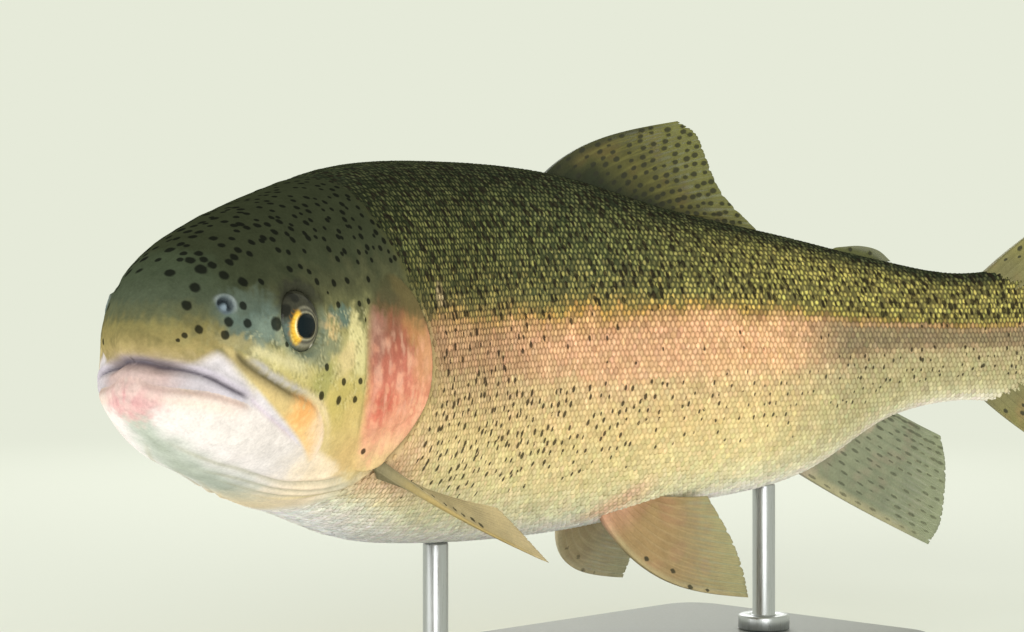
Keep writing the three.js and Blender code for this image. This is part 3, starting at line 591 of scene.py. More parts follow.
def jaw_colours(colour, points, girth, inner, m):
    """White jaws that grey towards the middle below as painted shade, violet-grey lips, rosy chin, folds of
    the gill membrane with painted shade in their furrows, and the slit of the mouth painted dark as shade.
    """
    x, y, z = points.T
    blotch, fine, wavy_x = m["blotch"], m["fine"], m["wavy_x"]
    edge, _, over = m["white"]
    below = -edge * over
    rear_edge = 62 + 0.8 * (-z - 20)
    lower = (1 - inner) * ease(3, 5.5, -(z + 1.0) - 0.36 * (x - 6))
    lower *= 1 - ease(rear_edge - 4, rear_edge + 6, wavy_x)
    upper = ease(-0.6, 3.2, below) * (x < 62) * (girth > -60) * (z < 4) * (1 - ease(54, 62, x))
    white = np.maximum(lower, upper * (1 - ease(1, 6, -(z + 1) - 0.7 * (x - 6))))
    # The whites grey towards the middle below, as painted shade on the underside of the jaw.
    whites_shaded_below = ramp_between([-90, -80, -70, -60, -48, 0],
                          ["a4ac9c", "b2b9ab", "cbcbc2", "dcd6d0", "d9d3cb", "d1c9c1"], girth + 3 * blotch)
    colour = blended(colour, layered(whites_shaded_below, ("f0d9ae", 0.7 * ease(46, 66, wavy_x))), 0.97 * white)

    slit, along_slit, over_mouth = m["mouth"]
    corner, along_corner, over_corner = m["lip_line"]
    by_mouth = 1 - ease(24, 30, x)
    beyond = ease(25, 29, x) * (1 - ease(50, 58, x)) * (1 - inner) * ease(-0.7, 1.2, below)
    colour = layered(
        colour,
        ("cdc8c7", 0.95 * np.maximum(upper * (over_mouth > 0) * by_mouth, (over_corner > 0) * beyond)),
        ("a9a2ac", 0.75 * ridge(slit - 0.8, 1.1) * by_mouth * (over_mouth > 0)),
        ("c4b6c0", 0.6 * ridge(corner, 0.7) * ends(along_corner, 0.02, 0.35)))
    fold, along_fold, over_fold = m["lip"]
    lip = ramp_between([0, 6, 12, 20], ["aa9b97", "b0a3a1", "b9b3b5", "b9b4b9"], x)
    on_lip = 0.95 * (over_mouth < 0) * (over_fold > 0) * by_mouth * (z < 0) * (fold < 6)
    colour = layered(
        blended(colour, lip, on_lip),
        ("b59a8c", 0.75 * ridge(fold - 0.8, 1.1) * ends(along_fold, 0.02, 0.15) * (over_fold < 0)),
        ("e0c8b4", 0.6 * ridge(fold - 3.2, 1.8) * ends(along_fold, 0.02, 0.3) * (over_fold < 0)),
        # Greyish lines in the furrows of the jaw and gill-ray folds are painted shade.
        *(("a8a78e", 0.55 * ridge(m[name][0], 0.9) * ends(m[name][1], 0.2, 0.15))
          for name in ("jaw", "ray_0", "ray_1")))
    d, along, over = m["membrane"]
    chin = np.exp(-((z + 11.5) / 7.5) ** 2 - (y / 9) ** 2) * (1 - ease(6, 12, x + fine))
    under_lip = (1 - ease(3, 9, x)) * ease(-16, -12, -np.abs(z + 1)) * (z < -1)
    gape = 1 - ease(0.25, 0.45, along_slit)
    return layered(
        colour,
        ("d6c493", 0.7 * ridge(d - 0.6, 0.7) * (over > 0) * ease(0.1, 0.5, along)),
        ("cdb0a8", 1.15 * chin),
        ("c88c8e", 0.6 * chin * ease(-0.3, 0.9, wobble(points, 5.5, 33))),
        ("b9a397", 0.6 * under_lip * (1 - chin)),
        ("ad9c94", 0.35 * chin * ease(0.2, 1.0, wobble(points, 3.4, 34)) * (z > -8)),
        # The slit of the mouth is painted nearly black, as painted shade in the gap between the lips.
        ("4c4650", 0.85 * ridge(slit, 0.4 + 0.5 * gape) * (1 - ease(0.9, 1, along_slit))))


def cover_colours(colour, points, m):
    """The gill cover, red below and olive above, with blood and pale streaks in the plate."""
    x, y, z = points.T
    blotch, fine, wavy_x, wavy_z = m["blotch"], m["fine"], m["wavy_x"], m["wavy_z"]
    cover = ease(-0.8, 1.0 + 3 * (1 - ease(82, 90, x)), m["cover"])
    streak = wobble(np.stack([x * 1.5, y * 1.5, z * 0.6], -1), 7, 35)
    plate = ramp_between([-30, -24, -19, -13, -7, -1, 4, 8, 12, 15, 20],
                         ["d9bd86", "e0b388", "dc9f7c", "cf8c6c", "c9826a", "b8745f", "a2694f", "836446",
                          "69583b", "545037", "4a4a32"], wavy_z + 0.5 * blotch)
    front_edge = (1 - ease(80.5, 85, wavy_x)) * ease(-9, -1, wavy_z) * (1 - ease(9, 14, wavy_z))
    flush = oval(m, 88, -6, 14, 15, 0.6)
    layers = [
        ("94705f", 0.85 * front_edge),
        ("8a5848", 0.6 * oval(m, 87, 4, 7, 6, 0.6)),
        ("b4705a", 0.45 * oval(m, 80.5, -13, 5, 12, 0.6)),
        ("c8976a", 0.85 * oval(m, 103, -1, 6.5, 9, 0.5)),
        ("ab8152", 0.85 * oval(m, 99, 6.5, 6, 4.5, 0.5, -35)),
        ("685e3c", 0.8 * oval(m, 98, 15, 9, 4.5, 0.5, -45)),
        ("e6b48c", 0.7 * oval(m, 101, -16, 6, 5, 0.5)),
        ("b2604c", 0.38 * flush * ease(-0.4, 1.1, -streak + 0.5 * blotch)),
        ("c8604f", 0.45 * oval(m, 83, -13, 7, 6, 0.6) * ease(-0.8, 0.5, fine)),
        ("c2604f", 0.4 * oval(m, 99, -13, 6, 6, 0.6) * ease(-0.6, 0.6, fine)),
        ("ecbfa0", 0.4 * flush * ease(0.1, 1.1, streak + 0.4 * fine)),
        ("e3a684", 0.45 * ease(0.2, 0.9, wobble(points, 4.5, 38)) * (1 - ease(0, 8, wavy_z))),
    ]
    return layered(blended(colour, plate, cover), *((code, cover * mask) for code, mask in layers))


def nostril_colours(colour, z, m):
    """A dark hollow with a pale bead in it and a pale flap round its upper rear rim, with painted shade in
    the groove under the flap.
    """
    u, v, rho = m["nostril_x"], m["nostril_z"], m["nostril"]
    slant = v + 0.7 * u
    return layered(
        colour,
        ("5d6a70", 0.85 * (1 - ease(1.8, 3.0, rho))),
        ("8fa0a8", 0.7 * (1 - ease(0.5, 1.1, np.hypot(u + 0.5, v + 0.6)))),
        ("9fa9a6", 0.6 * ridge(rho - 2.7, 0.6) * ease(-2, 1.5, slant) * (1 - ease(14.5, 16.5, z))),
        # Painted shade: a near-black ring in the groove under the flap.
        ("23292b", 0.9 * ridge(rho - 1.5, 0.7) * ease(-2.2, 0.8, slant)))


def head_colours(points, girth, m):
    """The head's colour at points folded onto the right side."""
    x, _, z = points.T
    blotch, fine = wobble(points, 9, 31), wobble(points, 3, 32)
    m.update(blotch=blotch, fine=fine, wavy_x=x + 1.1 * blotch + 0.6 * fine,
             wavy_z=z + 0.9 * fine - 0.6 * blotch)
    inner = ease(-0.9, 0.7, m["maxilla"])
    colour = ramp_between([-90, -66, -50, -38, -24, -10, 4, 13, 20, 28, 38, 50, 90],
                          ["bcc1b1", "c9c7b4", "d3c9a9", "cfbb84", "c9b477", "c0b06c", "b3aa70", "949160",
                           "5f6041", "4c4e36", "3d422e", "383d2a", "353a27"], girth + 3 * blotch + 1.5 * fine)
    colour = face_colours(colour, points, girth, m)
    colour = maxilla_colours(colour, z, inner, m)
    colour = jaw_colours(colour, points, girth, inner, m)
    colour = cover_colours(colour, points, m)
    return nostril_colours(colour, z, m)


# ---------- spots ----------
# Small black spots in the hide, close together on the back, upright and narrow on the flanks, and round on
# the head. Rows of them, as of scales, run along lines of equal arc from the lateral line.
spot_draw = np.random.default_rng(71)
RING = 241                                         # points from belly to back on one side
ring_x = np.concatenate([np.linspace(0.5, 60, 60), np.linspace(64, BODY_LENGTH, 94)])
ring_angle = np.linspace(-math.pi / 2, math.pi / 2, RING)
grid_x, grid_angle = np.meshgrid(ring_x, ring_angle, indexing="ij")
ring_points = skin_point(grid_x, grid_angle)
steps = np.linalg.norm(np.diff(ring_points[..., 1:], axis=1), axis=-1)
ring_arc = np.concatenate([np.zeros((len(ring_x), 1)), np.cumsum(steps, axis=1)], 1)
SIDE_LINE = math.radians(4)                        # angle of the lateral line
ring_arc -= ring_arc[:, [int(round((SIDE_LINE + math.pi / 2) / math.pi * (RING - 1)))]]
belly_arc, back_arc = ring_arc[:, 0], ring_arc[:, -1]


def table_row(x):
    """The ring of the arc table before x, and how far on to the next ring x is."""
    place = np.interp(x, ring_x, np.arange(len(ring_x)))
    i = np.minimum(place.astype(int), len(ring_x) - 2)
    return i, place - i


def arc_of(x, angle):
    """Arc from the lateral line, for angles from -90 to 90 degrees."""
    i, part = table_row(x)
    column = np.clip((angle + math.pi / 2) / math.pi * (RING - 1), 0, RING - 1.001)
    j = column.astype(int)
    v = column - j
    low = ring_arc[i, j] * (1 - v) + ring_arc[i, j + 1] * v
    high = ring_arc[i + 1, j] * (1 - v) + ring_arc[i + 1, j + 1] * v
    return low * (1 - part) + high * part


def angle_of(x, arc):
    """The angle where a line of equal arc crosses the section at x."""
    result = np.empty(len(x))
    i, part = table_row(x)
    for k in np.unique(i):
        chosen = i == k
        low = np.interp(arc[chosen], ring_arc[k], ring_angle)
        high = np.interp(arc[chosen], ring_arc[k + 1], ring_angle)
        result[chosen] = low * (1 - part[chosen]) + high * part[chosen]
    return result


def scattered(x_range, arc_range, x_step, arc_step):
    """Jittered points on a staggered lattice."""
    rows = np.arange(arc_range[0], arc_range[1], arc_step)
    columns = np.arange(x_range[0], x_range[1], x_step)
    x, arc = np.meshgrid(columns, rows)
    x = x + (np.arange(len(rows)) % 2)[:, None] * x_step / 2
    x = x + spot_draw.uniform(-0.36, 0.36, x.shape) * x_step
    arc = arc + spot_draw.uniform(-0.36, 0.36, arc.shape) * arc_step
    return x.ravel(), arc.ravel()


def flank_spots():
    """Spots of one side as rows of x, arc, half width and half height."""
    x, arc = scattered((98, 440), (-60, 90), 3.5, 4.0)
    start = np.interp(arc, [-60, -34, -12, 2, 14, 30, 60], [120, 108, 116, 117, 112, 102, 102])
    angle = np.degrees(angle_of(x, arc))
    top, bottom = STRIPE_TOP(x), STRIPE_BOTTOM(x)
    over = ease(top - 4, top + 4, angle)
    within = ease(bottom - 3, bottom + 3, angle) * (1 - over)
    under = 1 - over - within
    lower = ease(-58, -30, angle - 12 * ease(150, 230, x))
    keep = 0.78 * over + within * (0.5 - 0.4 * ease(125, 185, x))
    keep += under * (0.85 - 0.25 * ease(150, 330, x)) * lower
    keep *= 1 - 0.35 * ease(66, 88, angle)
    half_x = 0.76 + 0.2 * over + 0.25 * ease(300, 400, x)
    half_arc = 1.25 + 0.4 * over
    size = spot_draw.uniform(0.72, 1.15, len(x)) * (0.75 + 0.25 * lower)
    size *= 1 - 0.25 * (1 - over) * ease(170, 270, x)
    kept = (spot_draw.random(len(x)) < keep) & (x > start) & (arc < np.interp(x, ring_x, back_arc))
    kept &= arc > np.interp(x, ring_x, belly_arc)
    return np.stack([x, arc, half_x * size, half_arc * size], -1)[kept]


side_spots = {1: flank_spots(), -1: flank_spots()}


def spot_field(x, arc, spots):
    """1 at the middle of a spot, 0 at its rim and -1 away from any."""
    order = np.argsort(x)
    ordered_x, ordered_arc = x[order], arc[order]
    field = np.full(len(x), -1.0)
    for spot_x, spot_arc, half_x, half_arc in spots:
        first, last = np.searchsorted(ordered_x, [spot_x - 2 * half_x, spot_x + 2 * half_x])
        v = ordered_arc[first:last] - spot_arc
        lean = np.interp(spot_arc, [-20, 10], [-0.2, 0.25])
        u = ordered_x[first:last] - spot_x + v * lean
        field[first:last] = np.maximum(field[first:last], 1 - np.hypot(u / half_x, v / half_arc))
    result = np.empty(len(x))
    result[order] = field
    return result


# The spots of the face, as [distance behind the snout, height, radius].
FACE_SPOTS = [
    [55.3, -2.6, 1.2], [63.6, -6.7, 1.15], [71.4, -6.7, 1.05], [53.5, -9.9, 1.4], [61.9, -11.5, 1.4],
    [69.8, -11.6, 1.15], [79.8, -25.7, 1.0], [75.4, 9.5, 0.8], [63.2, 13.5, 1.1], [73.2, 13.8, 1.0],
    [78, 14.5, 1.0], [63.5, 19.2, 1.25], [70, 19.9, 1.15], [56, 19.5, 1.1], [80, 20.4, 1.05],
    [59.5, 16.6, 0.6], [46.7, 22.6, 1.2], [51.6, 23.4, 1.0], [54.2, 22.1, 1.0], [68.6, 25.6, 1.1],
    [77.4, 25, 0.9], [84.4, 29.2, 1.1], [38.3, 3.5, 0.9], [34.3, 19.2, 1.1], [29, 19.2, 1.6],
    [26.2, 13.2, 1.3], [26.2, 8.8, 1.4], [21.6, 9.2, 1.45], [20.1, 6, 1.35], [14.4, 7.4, 1.3],
    [13.6, 13.2, 1.5], [11, 6, 0.9], [9.4, 4.9, 0.6], [25.2, 20.7, 1.5], [24.6, 23.2, 1.35],
    [21.6, 22.1, 1.8], [16.1, 21.2, 1.6], [17.4, 17.6, 1.6], [22.1, 24.4, 1.5], [35, 8.6, 2.0],
]


def crown_spots():
    """Places and sizes of the spots of the top of the head, over the face, on one side."""
    x, arc = scattered((5, 104), (12, 62), 4.2, 3.3)
    start = np.interp(x, [0, 12, 20, 30, 40, 60, 80, 104], [15, 19, 24.5, 24, 25.5, 27, 26, 23])
    height = skin_point(x, angle_of(x, arc))[:, 2]
    kept = (height > start) & (arc < np.interp(x, ring_x, back_arc)) & (spot_draw.random(len(x)) < 0.92)
    size = spot_draw.uniform(0.8, 1.3, len(x)) * (1.2 - 0.3 * ease(25, 70, x))
    return np.column_stack([skin_point(x, angle_of(x, arc)), size])[kept]


face_x, face_z, face_size = np.array(FACE_SPOTS).T
face_rows = np.column_stack([skin_point(face_x, angle_at(face_x, face_z)), face_size])
# The right side's spots lie a little differently from the left side's.
loose_rows = face_rows + spot_draw.normal(0, 0.8, face_rows.shape) * [1, 0, 1, 0.1]
head_spots = np.vstack([face_rows * [1, -1, 1, 1], crown_spots() * [1, -1, 1, 1], loose_rows, crown_spots()])


def head_spot_field(points):
    """The same for the round spots of the head, at points on either side."""
    order = np.argsort(points[:, 0])
    ordered = points[order]
    field = np.full(len(points), -1.0)
    for spot_x, spot_y, spot_z, radius in head_spots:
        first, last = np.searchsorted(ordered[:, 0], [spot_x - 2 * radius, spot_x + 2 * radius])
        away = np.linalg.norm(ordered[first:last] - [spot_x, spot_y, spot_z], axis=1)
        field[first:last] = np.maximum(field[first:last], 1 - away / radius)
    result = np.empty(len(points))
    result[order] = field
    return result


# ---------- the skin ----------
# One unbroken skin covers the head, jaws, gill covers, trunk and tail stalk. It is bare and wet on the
# head, and lies a scale's depth deeper on the body. It stands for all the nodes of flesh.
COAT_DEPTH = 0.65
HEAD_LENGTH = 118                                  # of the finely divided part
COLUMNS = 480
skin_x = np.concatenate([np.linspace(0, 1, 9)[1:] ** 2 * 3, np.arange(3.45, HEAD_LENGTH, 0.47),
                         np.linspace(HEAD_LENGTH + 0.6, BODY_LENGTH, 86)])
start_line = smooth_curve(SCALES_START, np.linspace(0, 1, 60))


def behind_start(x, z):
    """How far behind the line where the scales start, in the side view."""
    points = np.stack([x, z], -1)
    distance = np.full(len(x), 40.0)
    close = x < 150
    d, _, behind = nearest(points[close], start_line)
    distance[close] = d * behind
    return distance


def folded(angle):
    """Any angle as the same height's angle on the right side."""
    return np.arcsin(np.clip(np.sin(angle), -1, 1))


def hide(x, angle, points):
    """Dark and light colours, relief and coat cover of the hide at points folded onto the right side, with a
    painted shadow behind the gill cover.
    """
    girth = np.degrees(folded(angle))
    cover = ease(-1, 4, behind_start(x, points[:, 2]))
    net, middle = flank_colours(x, girth, points)
    relief = np.zeros(len(x))
    head = x < HEAD_LENGTH + 10
    masks = head_masks(points[head])
    relief[head] = head_relief(points[head], masks) * (1 - ease(HEAD_LENGTH, HEAD_LENGTH + 9, x[head]))
    face = head_colours(points[head], girth[head], masks)
    bare = 1 - ease(-3.5, 2.5, behind_start(x, points[:, 2])[head])
    # A dark red-brown band behind the lower free edge of the gill cover is a painted shadow cast by the
    # cover.
    shadow_behind_cover = ridge(masks["cover"] + 1.5, 1.4) * ease(88, 96, x[head]) * (1 - ease(2, 14, points[head, 2]))
    for colour in (net, middle):
        colour[head] = layered(blended(colour[head], face, bare), ("5d4436", 0.8 * shadow_behind_cover))
    return net, middle, relief, cover


column_angle = -math.pi / 2 + 2 * math.pi * np.arange(COLUMNS) / COLUMNS
grid_x, grid_angle = np.meshgrid(skin_x, column_angle, indexing="ij")
flat_x, flat_angle = grid_x.ravel(), grid_angle.ravel()
smooth_points = skin_point(flat_x, flat_angle)
outward, _, _ = skin_frame(flat_x, flat_angle)
mirrored = smooth_points * [1, 0, 1] + np.abs(smooth_points) * [0, 1, 0]
net, middle, relief, cover = hide(flat_x, flat_angle, mirrored)
skin_colour = 0.55 * net + 0.45 * middle
# At the very tip the relief stands straight ahead, so that its two sides meet without a pinch.
outward = blended(outward, np.array([-1, 0, 0]), 1 - ease(0.5, 6, flat_x))
skin_points = smooth_points + outward * (relief - COAT_DEPTH * cover)[:, None]
# The lips lie back between the snout and the knob of the chin, by this much at each height.
LIPS_BACK = profile([[-24, 0], [-21, -0.1], [-16.5, -0.6], [-12, -0.8], [-9.5, 0], [-8, 0.8], [-4.5, 2.8],
                     [-2.3, 3.7], [-0.1, 4.4], [1.2, 3.8], [3.3, 2], [5.8, 1], [10, 0.2], [14, 0]])
skin_points[:, 0] += LIPS_BACK(smooth_points[:, 2]) * (1 - ease(5, 27, flat_x))
skin_spots = np.full(len(flat_x), -1.0)
for side, rows in side_spots.items():
    here = np.sign(smooth_points[:, 1] + 1e-9) == side
    skin_spots[here] = spot_field(flat_x[here], arc_of(flat_x[here], folded(flat_angle[here])), rows)
skin_spots = np.maximum(skin_spots, head_spot_field(smooth_points)) + 0.06 * wobble(smooth_points, 2.2, 61)
# The eye sockets and the jaws have no spots.
from_eye = mirrored - eye_centre
in_socket = (np.hypot(from_eye @ eye_back, from_eye @ eye_up) < 9) & (mirrored[:, 1] > 4)
on_jaws = (np.sin(flat_angle) < 0) & (flat_x < 52) & (mirrored[:, 2] < -1)
skin_spots[in_socket | on_jaws] = -1

tip_point = skin_points[:COLUMNS].mean(0)[None]
end_point = np.array([[BODY_LENGTH - 0.5, 0, (back_at(BODY_LENGTH) + belly_at(BODY_LENGTH)) / 2]])
skin_points = np.vstack([skin_points, tip_point, end_point])
skin_colour = np.vstack([skin_colour, skin_colour[:1], skin_colour[-1:]])
skin_spots = np.concatenate([skin_spots, [-1, -1]])

ring, column = np.meshgrid(np.arange(len(skin_x) - 1), np.arange(COLUMNS), indexing="ij")
ring, column = ring.ravel(), column.ravel()
following = (column + 1) % COLUMNS
quads = np.stack([ring * COLUMNS + column, ring * COLUMNS + following,
                  (ring + 1) * COLUMNS + following, (ring + 1) * COLUMNS + column], -1)
all_columns = np.arange(COLUMNS)
next_columns = (all_columns + 1) % COLUMNS
tip, end = len(flat_x), len(flat_x) + 1
last_ring = (len(skin_x) - 1) * COLUMNS
tip_fan = np.stack([np.full(COLUMNS, tip), next_columns, all_columns], -1)
end_fan = np.stack([last_ring + all_columns, last_ring + next_columns, np.full(COLUMNS, end)], -1)


def unwrap_u(x):
    """Place across the unwrapped skin. The head has three quarters of it."""
    body = 0.745 + 0.25 * (x - HEAD_LENGTH) / (BODY_LENGTH - HEAD_LENGTH)
    return np.where(x < HEAD_LENGTH, 0.005 + 0.74 * x / HEAD_LENGTH, body)


ring_u = unwrap_u(skin_x)
quad_u = np.stack([ring_u[ring], ring_u[ring], ring_u[ring + 1], ring_u[ring + 1]], -1)
quad_v = np.stack([column, column + 1, column + 1, column], -1) / COLUMNS
tip_u = np.stack([np.zeros(COLUMNS), np.full(COLUMNS, ring_u[0]), np.full(COLUMNS, ring_u[0])], -1)
tip_v = np.stack([all_columns + 0.5, all_columns + 1, all_columns], -1) / COLUMNS
end_u = np.stack([np.full(COLUMNS, 0.995), np.full(COLUMNS, 0.995), np.full(COLUMNS, 1)], -1)
end_v = np.stack([all_columns, all_columns + 1, all_columns + 0.5], -1) / COLUMNS
skin_unwrap = np.stack([np.concatenate([quad_u.ravel(), tip_u.ravel(), end_u.ravel()]),
                        np.concatenate([quad_v.ravel(), tip_v.ravel(), end_v.ravel()])], -1)
skin = make_piece("skin", bent(skin_points), [quads, tip_fan, end_fan], unwrap=skin_unwrap,
                  layers=[("Hide", skin_colour), ("Spot", skin_spots)])


def node(tree, kind, inputs=(), **settings):
    """Adds a shader node. Inputs are (name or number, value or socket) pairs."""
    made = tree.nodes.new(kind)
    for key, value in settings.items():
        setattr(made, key, value)
    for key, value in inputs:
        if isinstance(value, bpy.types.NodeSocket):
            tree.links.new(value, made.inputs[key])
        else:
            made.inputs[key].default_value = value
    return made


def new_group(name, inputs, outputs):
    """An empty shader node group with named sockets, and its input and output nodes."""
    group = bpy.data.node_groups.new(name, "ShaderNodeTree")
    for label, kind, value in inputs:
        socket_made = group.interface.new_socket(label, in_out="INPUT", socket_type=kind)
        socket_made.default_value = value
    for label, kind in outputs:
        group.interface.new_socket(label, in_out="OUTPUT", socket_type=kind)
    return group, group.nodes.new("NodeGroupInput"), group.nodes.new("NodeGroupOutput")


# Living hide: mottled with fine grain, with inky spots that have slightly ragged rims.
markings, taken, given = new_group(
    "trout_markings",
    [("Hide", "NodeSocketColor", (0.5, 0.5, 0.5, 1)), ("Spot", "NodeSocketFloat", -1.0),
     ("Grain", "NodeSocketFloat", 0.25), ("Ink", "NodeSocketColor", (0.007, 0.008, 0.006, 1))],
    [("Color", "NodeSocketColor"), ("Roughness", "NodeSocketFloat"), ("Height", "NodeSocketFloat")])
place = node(markings, "ShaderNodeTexCoord")
fine = node(markings, "ShaderNodeTexNoise", [
    ("Vector", place.outputs["Object"]), ("Scale", 1300.0), ("Detail", 3.0), ("Roughness", 0.6)])
broad = node(markings, "ShaderNodeTexNoise", [
    ("Vector", place.outputs["Object"]), ("Scale", 210.0), ("Detail", 3.0), ("Roughness", 0.55)])
grain_low = node(markings, "ShaderNodeMath", [(0, 1.0), (1, taken.outputs["Grain"])], operation="SUBTRACT")
grain_high = node(markings, "ShaderNodeMath", [(0, 1.0), (1, taken.outputs["Grain"])], operation="ADD")
both = node(markings, "ShaderNodeMath", [(0, fine.outputs["Fac"]), (1, broad.outputs["Fac"])],
            operation="ADD")
shade = node(markings, "ShaderNodeMapRange", [
    ("Value", both.outputs[0]), ("From Min", 0.65), ("From Max", 1.35),
    ("To Min", grain_low.outputs[0]), ("To Max", grain_high.outputs[0])])
grained = node(markings, "ShaderNodeVectorMath", [(0, taken.outputs["Hide"]), (3, shade.outputs[0])],
               operation="SCALE")
ragged = node(markings, "ShaderNodeMath", [(0, fine.outputs["Fac"]), (1, 0.3), (2, taken.outputs["Spot"])],
              operation="MULTIPLY_ADD")
inked = node(markings, "ShaderNodeMapRange", [
    ("Value", ragged.outputs[0]), ("From Min", 0.04), ("From Max", 0.48), ("To Min", 0.0), ("To Max", 0.88)],
    interpolation_type="SMOOTHSTEP")
colour_out = node(markings, "ShaderNodeMix", [
    (0, inked.outputs[0]), (6, grained.outputs[0]), (7, taken.outputs["Ink"])], data_type="RGBA")
damp = node(markings, "ShaderNodeMapRange", [
    ("Value", broad.outputs["Fac"]), ("From Min", 0.3), ("From Max", 0.7),
    ("To Min", 0.42), ("To Max", 0.58)])
for source, socket_name in ((colour_out.outputs[2], "Color"), (damp.outputs[0], "Roughness"),
                            (fine.outputs["Fac"], "Height")):
    markings.links.new(source, given.inputs[socket_name])


def hide_material(name, grain, bump, **shine):
    """A hide finish whose colour and spots come from the piece's own layers."""
    material = bpy.data.materials.new(name)
    material.use_nodes = True
    tree = material.node_tree
    surface = tree.nodes["Principled BSDF"]
    hide_layer = node(tree, "ShaderNodeAttribute", attribute_name="Hide")
    spot_layer = node(tree, "ShaderNodeAttribute", attribute_name="Spot")
    pattern = node(tree, "ShaderNodeGroup", node_tree=markings)
    pattern.inputs["Grain"].default_value = grain
    tree.links.new(hide_layer.outputs["Color"], pattern.inputs["Hide"])
    tree.links.new(spot_layer.outputs["Fac"], pattern.inputs["Spot"])
    relief_node = node(tree, "ShaderNodeBump", [("Height", pattern.outputs["Height"]), ("Strength", bump),
                                                ("Distance", 0.0003)])
    tree.links.new(pattern.outputs["Color"], surface.inputs["Base Color"])
    tree.links.new(pattern.outputs["Roughness"], surface.inputs["Roughness"])
    tree.links.new(relief_node.outputs["Normal"], surface.inputs["Normal"])
    for key, value in shine.items():
        surface.inputs[key.replace("_", " ")].default_value = value
    return material


skin_finish = hide_material("bare_hide", 0.16, 0.35, Specular_IOR_Level=0.0)
skin.data.materials.append(skin_finish)
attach(skin, "root")
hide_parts("head", "lower_jaw", "throat", "maxilla_left", "maxilla_right", "gill_cover_left",
            "gill_cover_right", "trunk_front", "trunk_middle", "trunk_rear", "tail_stalk")

# ---------- the scales ----------
# Round scales in staggered rows along the body, each rooted under the ones ahead of it with its free edge
# towards the tail. A pale upright middle in a dark rim gives the flanks their netted look.
ROW_HEIGHT = 1.83
CORNERS = 8                                        # round one scale
# Shares of the pitch along the body and of the row height: the scale, then its pale dash.
ROOT_REACH, FREE_REACH, HALF_SPAN = 0.72, 0.6, 0.82
DASH_A, DASH_HALF_A, DASH_HALF_B = 0.13, 0.17, 0.38
# Millimetres: how high the root and the free edge lie, the rise of the middle and the thickness.
ROOT_HEIGHT, EDGE_HEIGHT, CROWN, SCALE_EDGE = -0.58, -0.16, 0.07, 0.11
scale_draw = np.random.default_rng(5)
scale_length_at = profile([[55, 1.5], [110, 1.75], [160, 1.95], [240, 2.1], [300, 2.3], [380, 2.5],
                           [440, 2.3]])
corner_turn = 2 * np.pi * np.arange(CORNERS) / CORNERS
rim_a = np.where(np.cos(corner_turn) > 0, FREE_REACH, ROOT_REACH) * np.cos(corner_turn)
rim_b = HALF_SPAN * np.sin(corner_turn)
dash_a, dash_b = DASH_HALF_A * np.cos(corner_turn), DASH_HALF_B * np.sin(corner_turn)
# Rings from outside in: the rim, round the pale dash, the dash, its middle, and the rim's underside.
scale_a = np.concatenate([rim_a, DASH_A + 1.6 * dash_a, DASH_A + dash_a, [DASH_A], rim_a])
scale_b = np.concatenate([rim_b, 1.35 * dash_b, dash_b, [0], rim_b])
scale_light = np.concatenate([np.zeros(CORNERS), np.full(CORNERS, 0.2), np.full(CORNERS, 0.8), [1.1],
                              np.zeros(CORNERS)])
scale_h = (ROOT_HEIGHT + (EDGE_HEIGHT - ROOT_HEIGHT) * (scale_a + ROOT_REACH) / (FREE_REACH + ROOT_REACH)
           + CROWN * (1 - (scale_b / HALF_SPAN) ** 2))
scale_h[-CORNERS:] -= SCALE_EDGE
around_ring = np.arange(CORNERS)
after = (around_ring + 1) % CORNERS
rings_of_quads = [np.stack([k + around_ring, k + after, k + CORNERS + after, k + CORNERS + around_ring], -1)
                  for k in (0, CORNERS)]
under = 3 * CORNERS + 1
edge_quads = np.stack([under + around_ring, under + after, after, around_ring], -1)
middle_fan = np.stack([2 * CORNERS + around_ring, 2 * CORNERS + after, np.full(CORNERS, 3 * CORNERS)], -1)
under_face = (under + around_ring)[::-1][None, :]
scale_faces = (*rings_of_quads, edge_quads, middle_fan, under_face)

# Places of all scales of one side, row by row, from the head to the root of the tail fin.
fine_x = np.arange(52, 438.5, 0.5)
scale_number = np.concatenate([[0], np.cumsum(0.5 / scale_length_at(fine_x[:-1]))])
columns_of_scales = np.arange(0, int(scale_number[-1]))
side_x, side_arc = [], []
room = 0.42 * ROW_HEIGHT                           # left free along the back and the belly
for row in range(-53, 53):
    numbers = columns_of_scales + 0.5 * (row % 2)
    x = np.interp(numbers, scale_number, fine_x)
    arc = np.full(len(x), row * ROW_HEIGHT)
    kept = (arc < np.interp(x, ring_x, back_arc) - room) & (arc > np.interp(x, ring_x, belly_arc) + room)
    side_x.append(x[kept])
    side_arc.append(arc[kept])
side_x, side_arc = np.concatenate(side_x), np.concatenate(side_arc)

placed = []
for side in (1, -1):
    loose = 1 + 0.9 * ease(6, 16, side_arc)
    x = side_x + scale_draw.normal(0, 0.12, len(side_x)) * loose
    arc = side_arc + scale_draw.normal(0, 0.085, len(side_x)) * loose
    placed.append((x, arc, np.full(len(x), side)))
for edge_arc in (back_arc, belly_arc):
    x = np.interp(columns_of_scales + 0.25, scale_number, fine_x)
    placed.append((x, np.interp(x, ring_x, edge_arc), np.ones(len(x))))
all_x, all_arc, all_side = (np.concatenate(part) for part in zip(*placed))


def wrapped(x, arc, side):
    """Skin angle, side and folded arc for an arc that may run over the back or under the belly."""
    top, bottom = np.interp(x, ring_x, back_arc), np.interp(x, ring_x, belly_arc)
    beyond = (arc > top) | (arc < bottom)
    near_arc = np.where(arc > top, 2 * top - arc, np.where(arc < bottom, 2 * bottom - arc, arc))
    return angle_of(x, near_arc), np.where(beyond, -side, side), near_arc


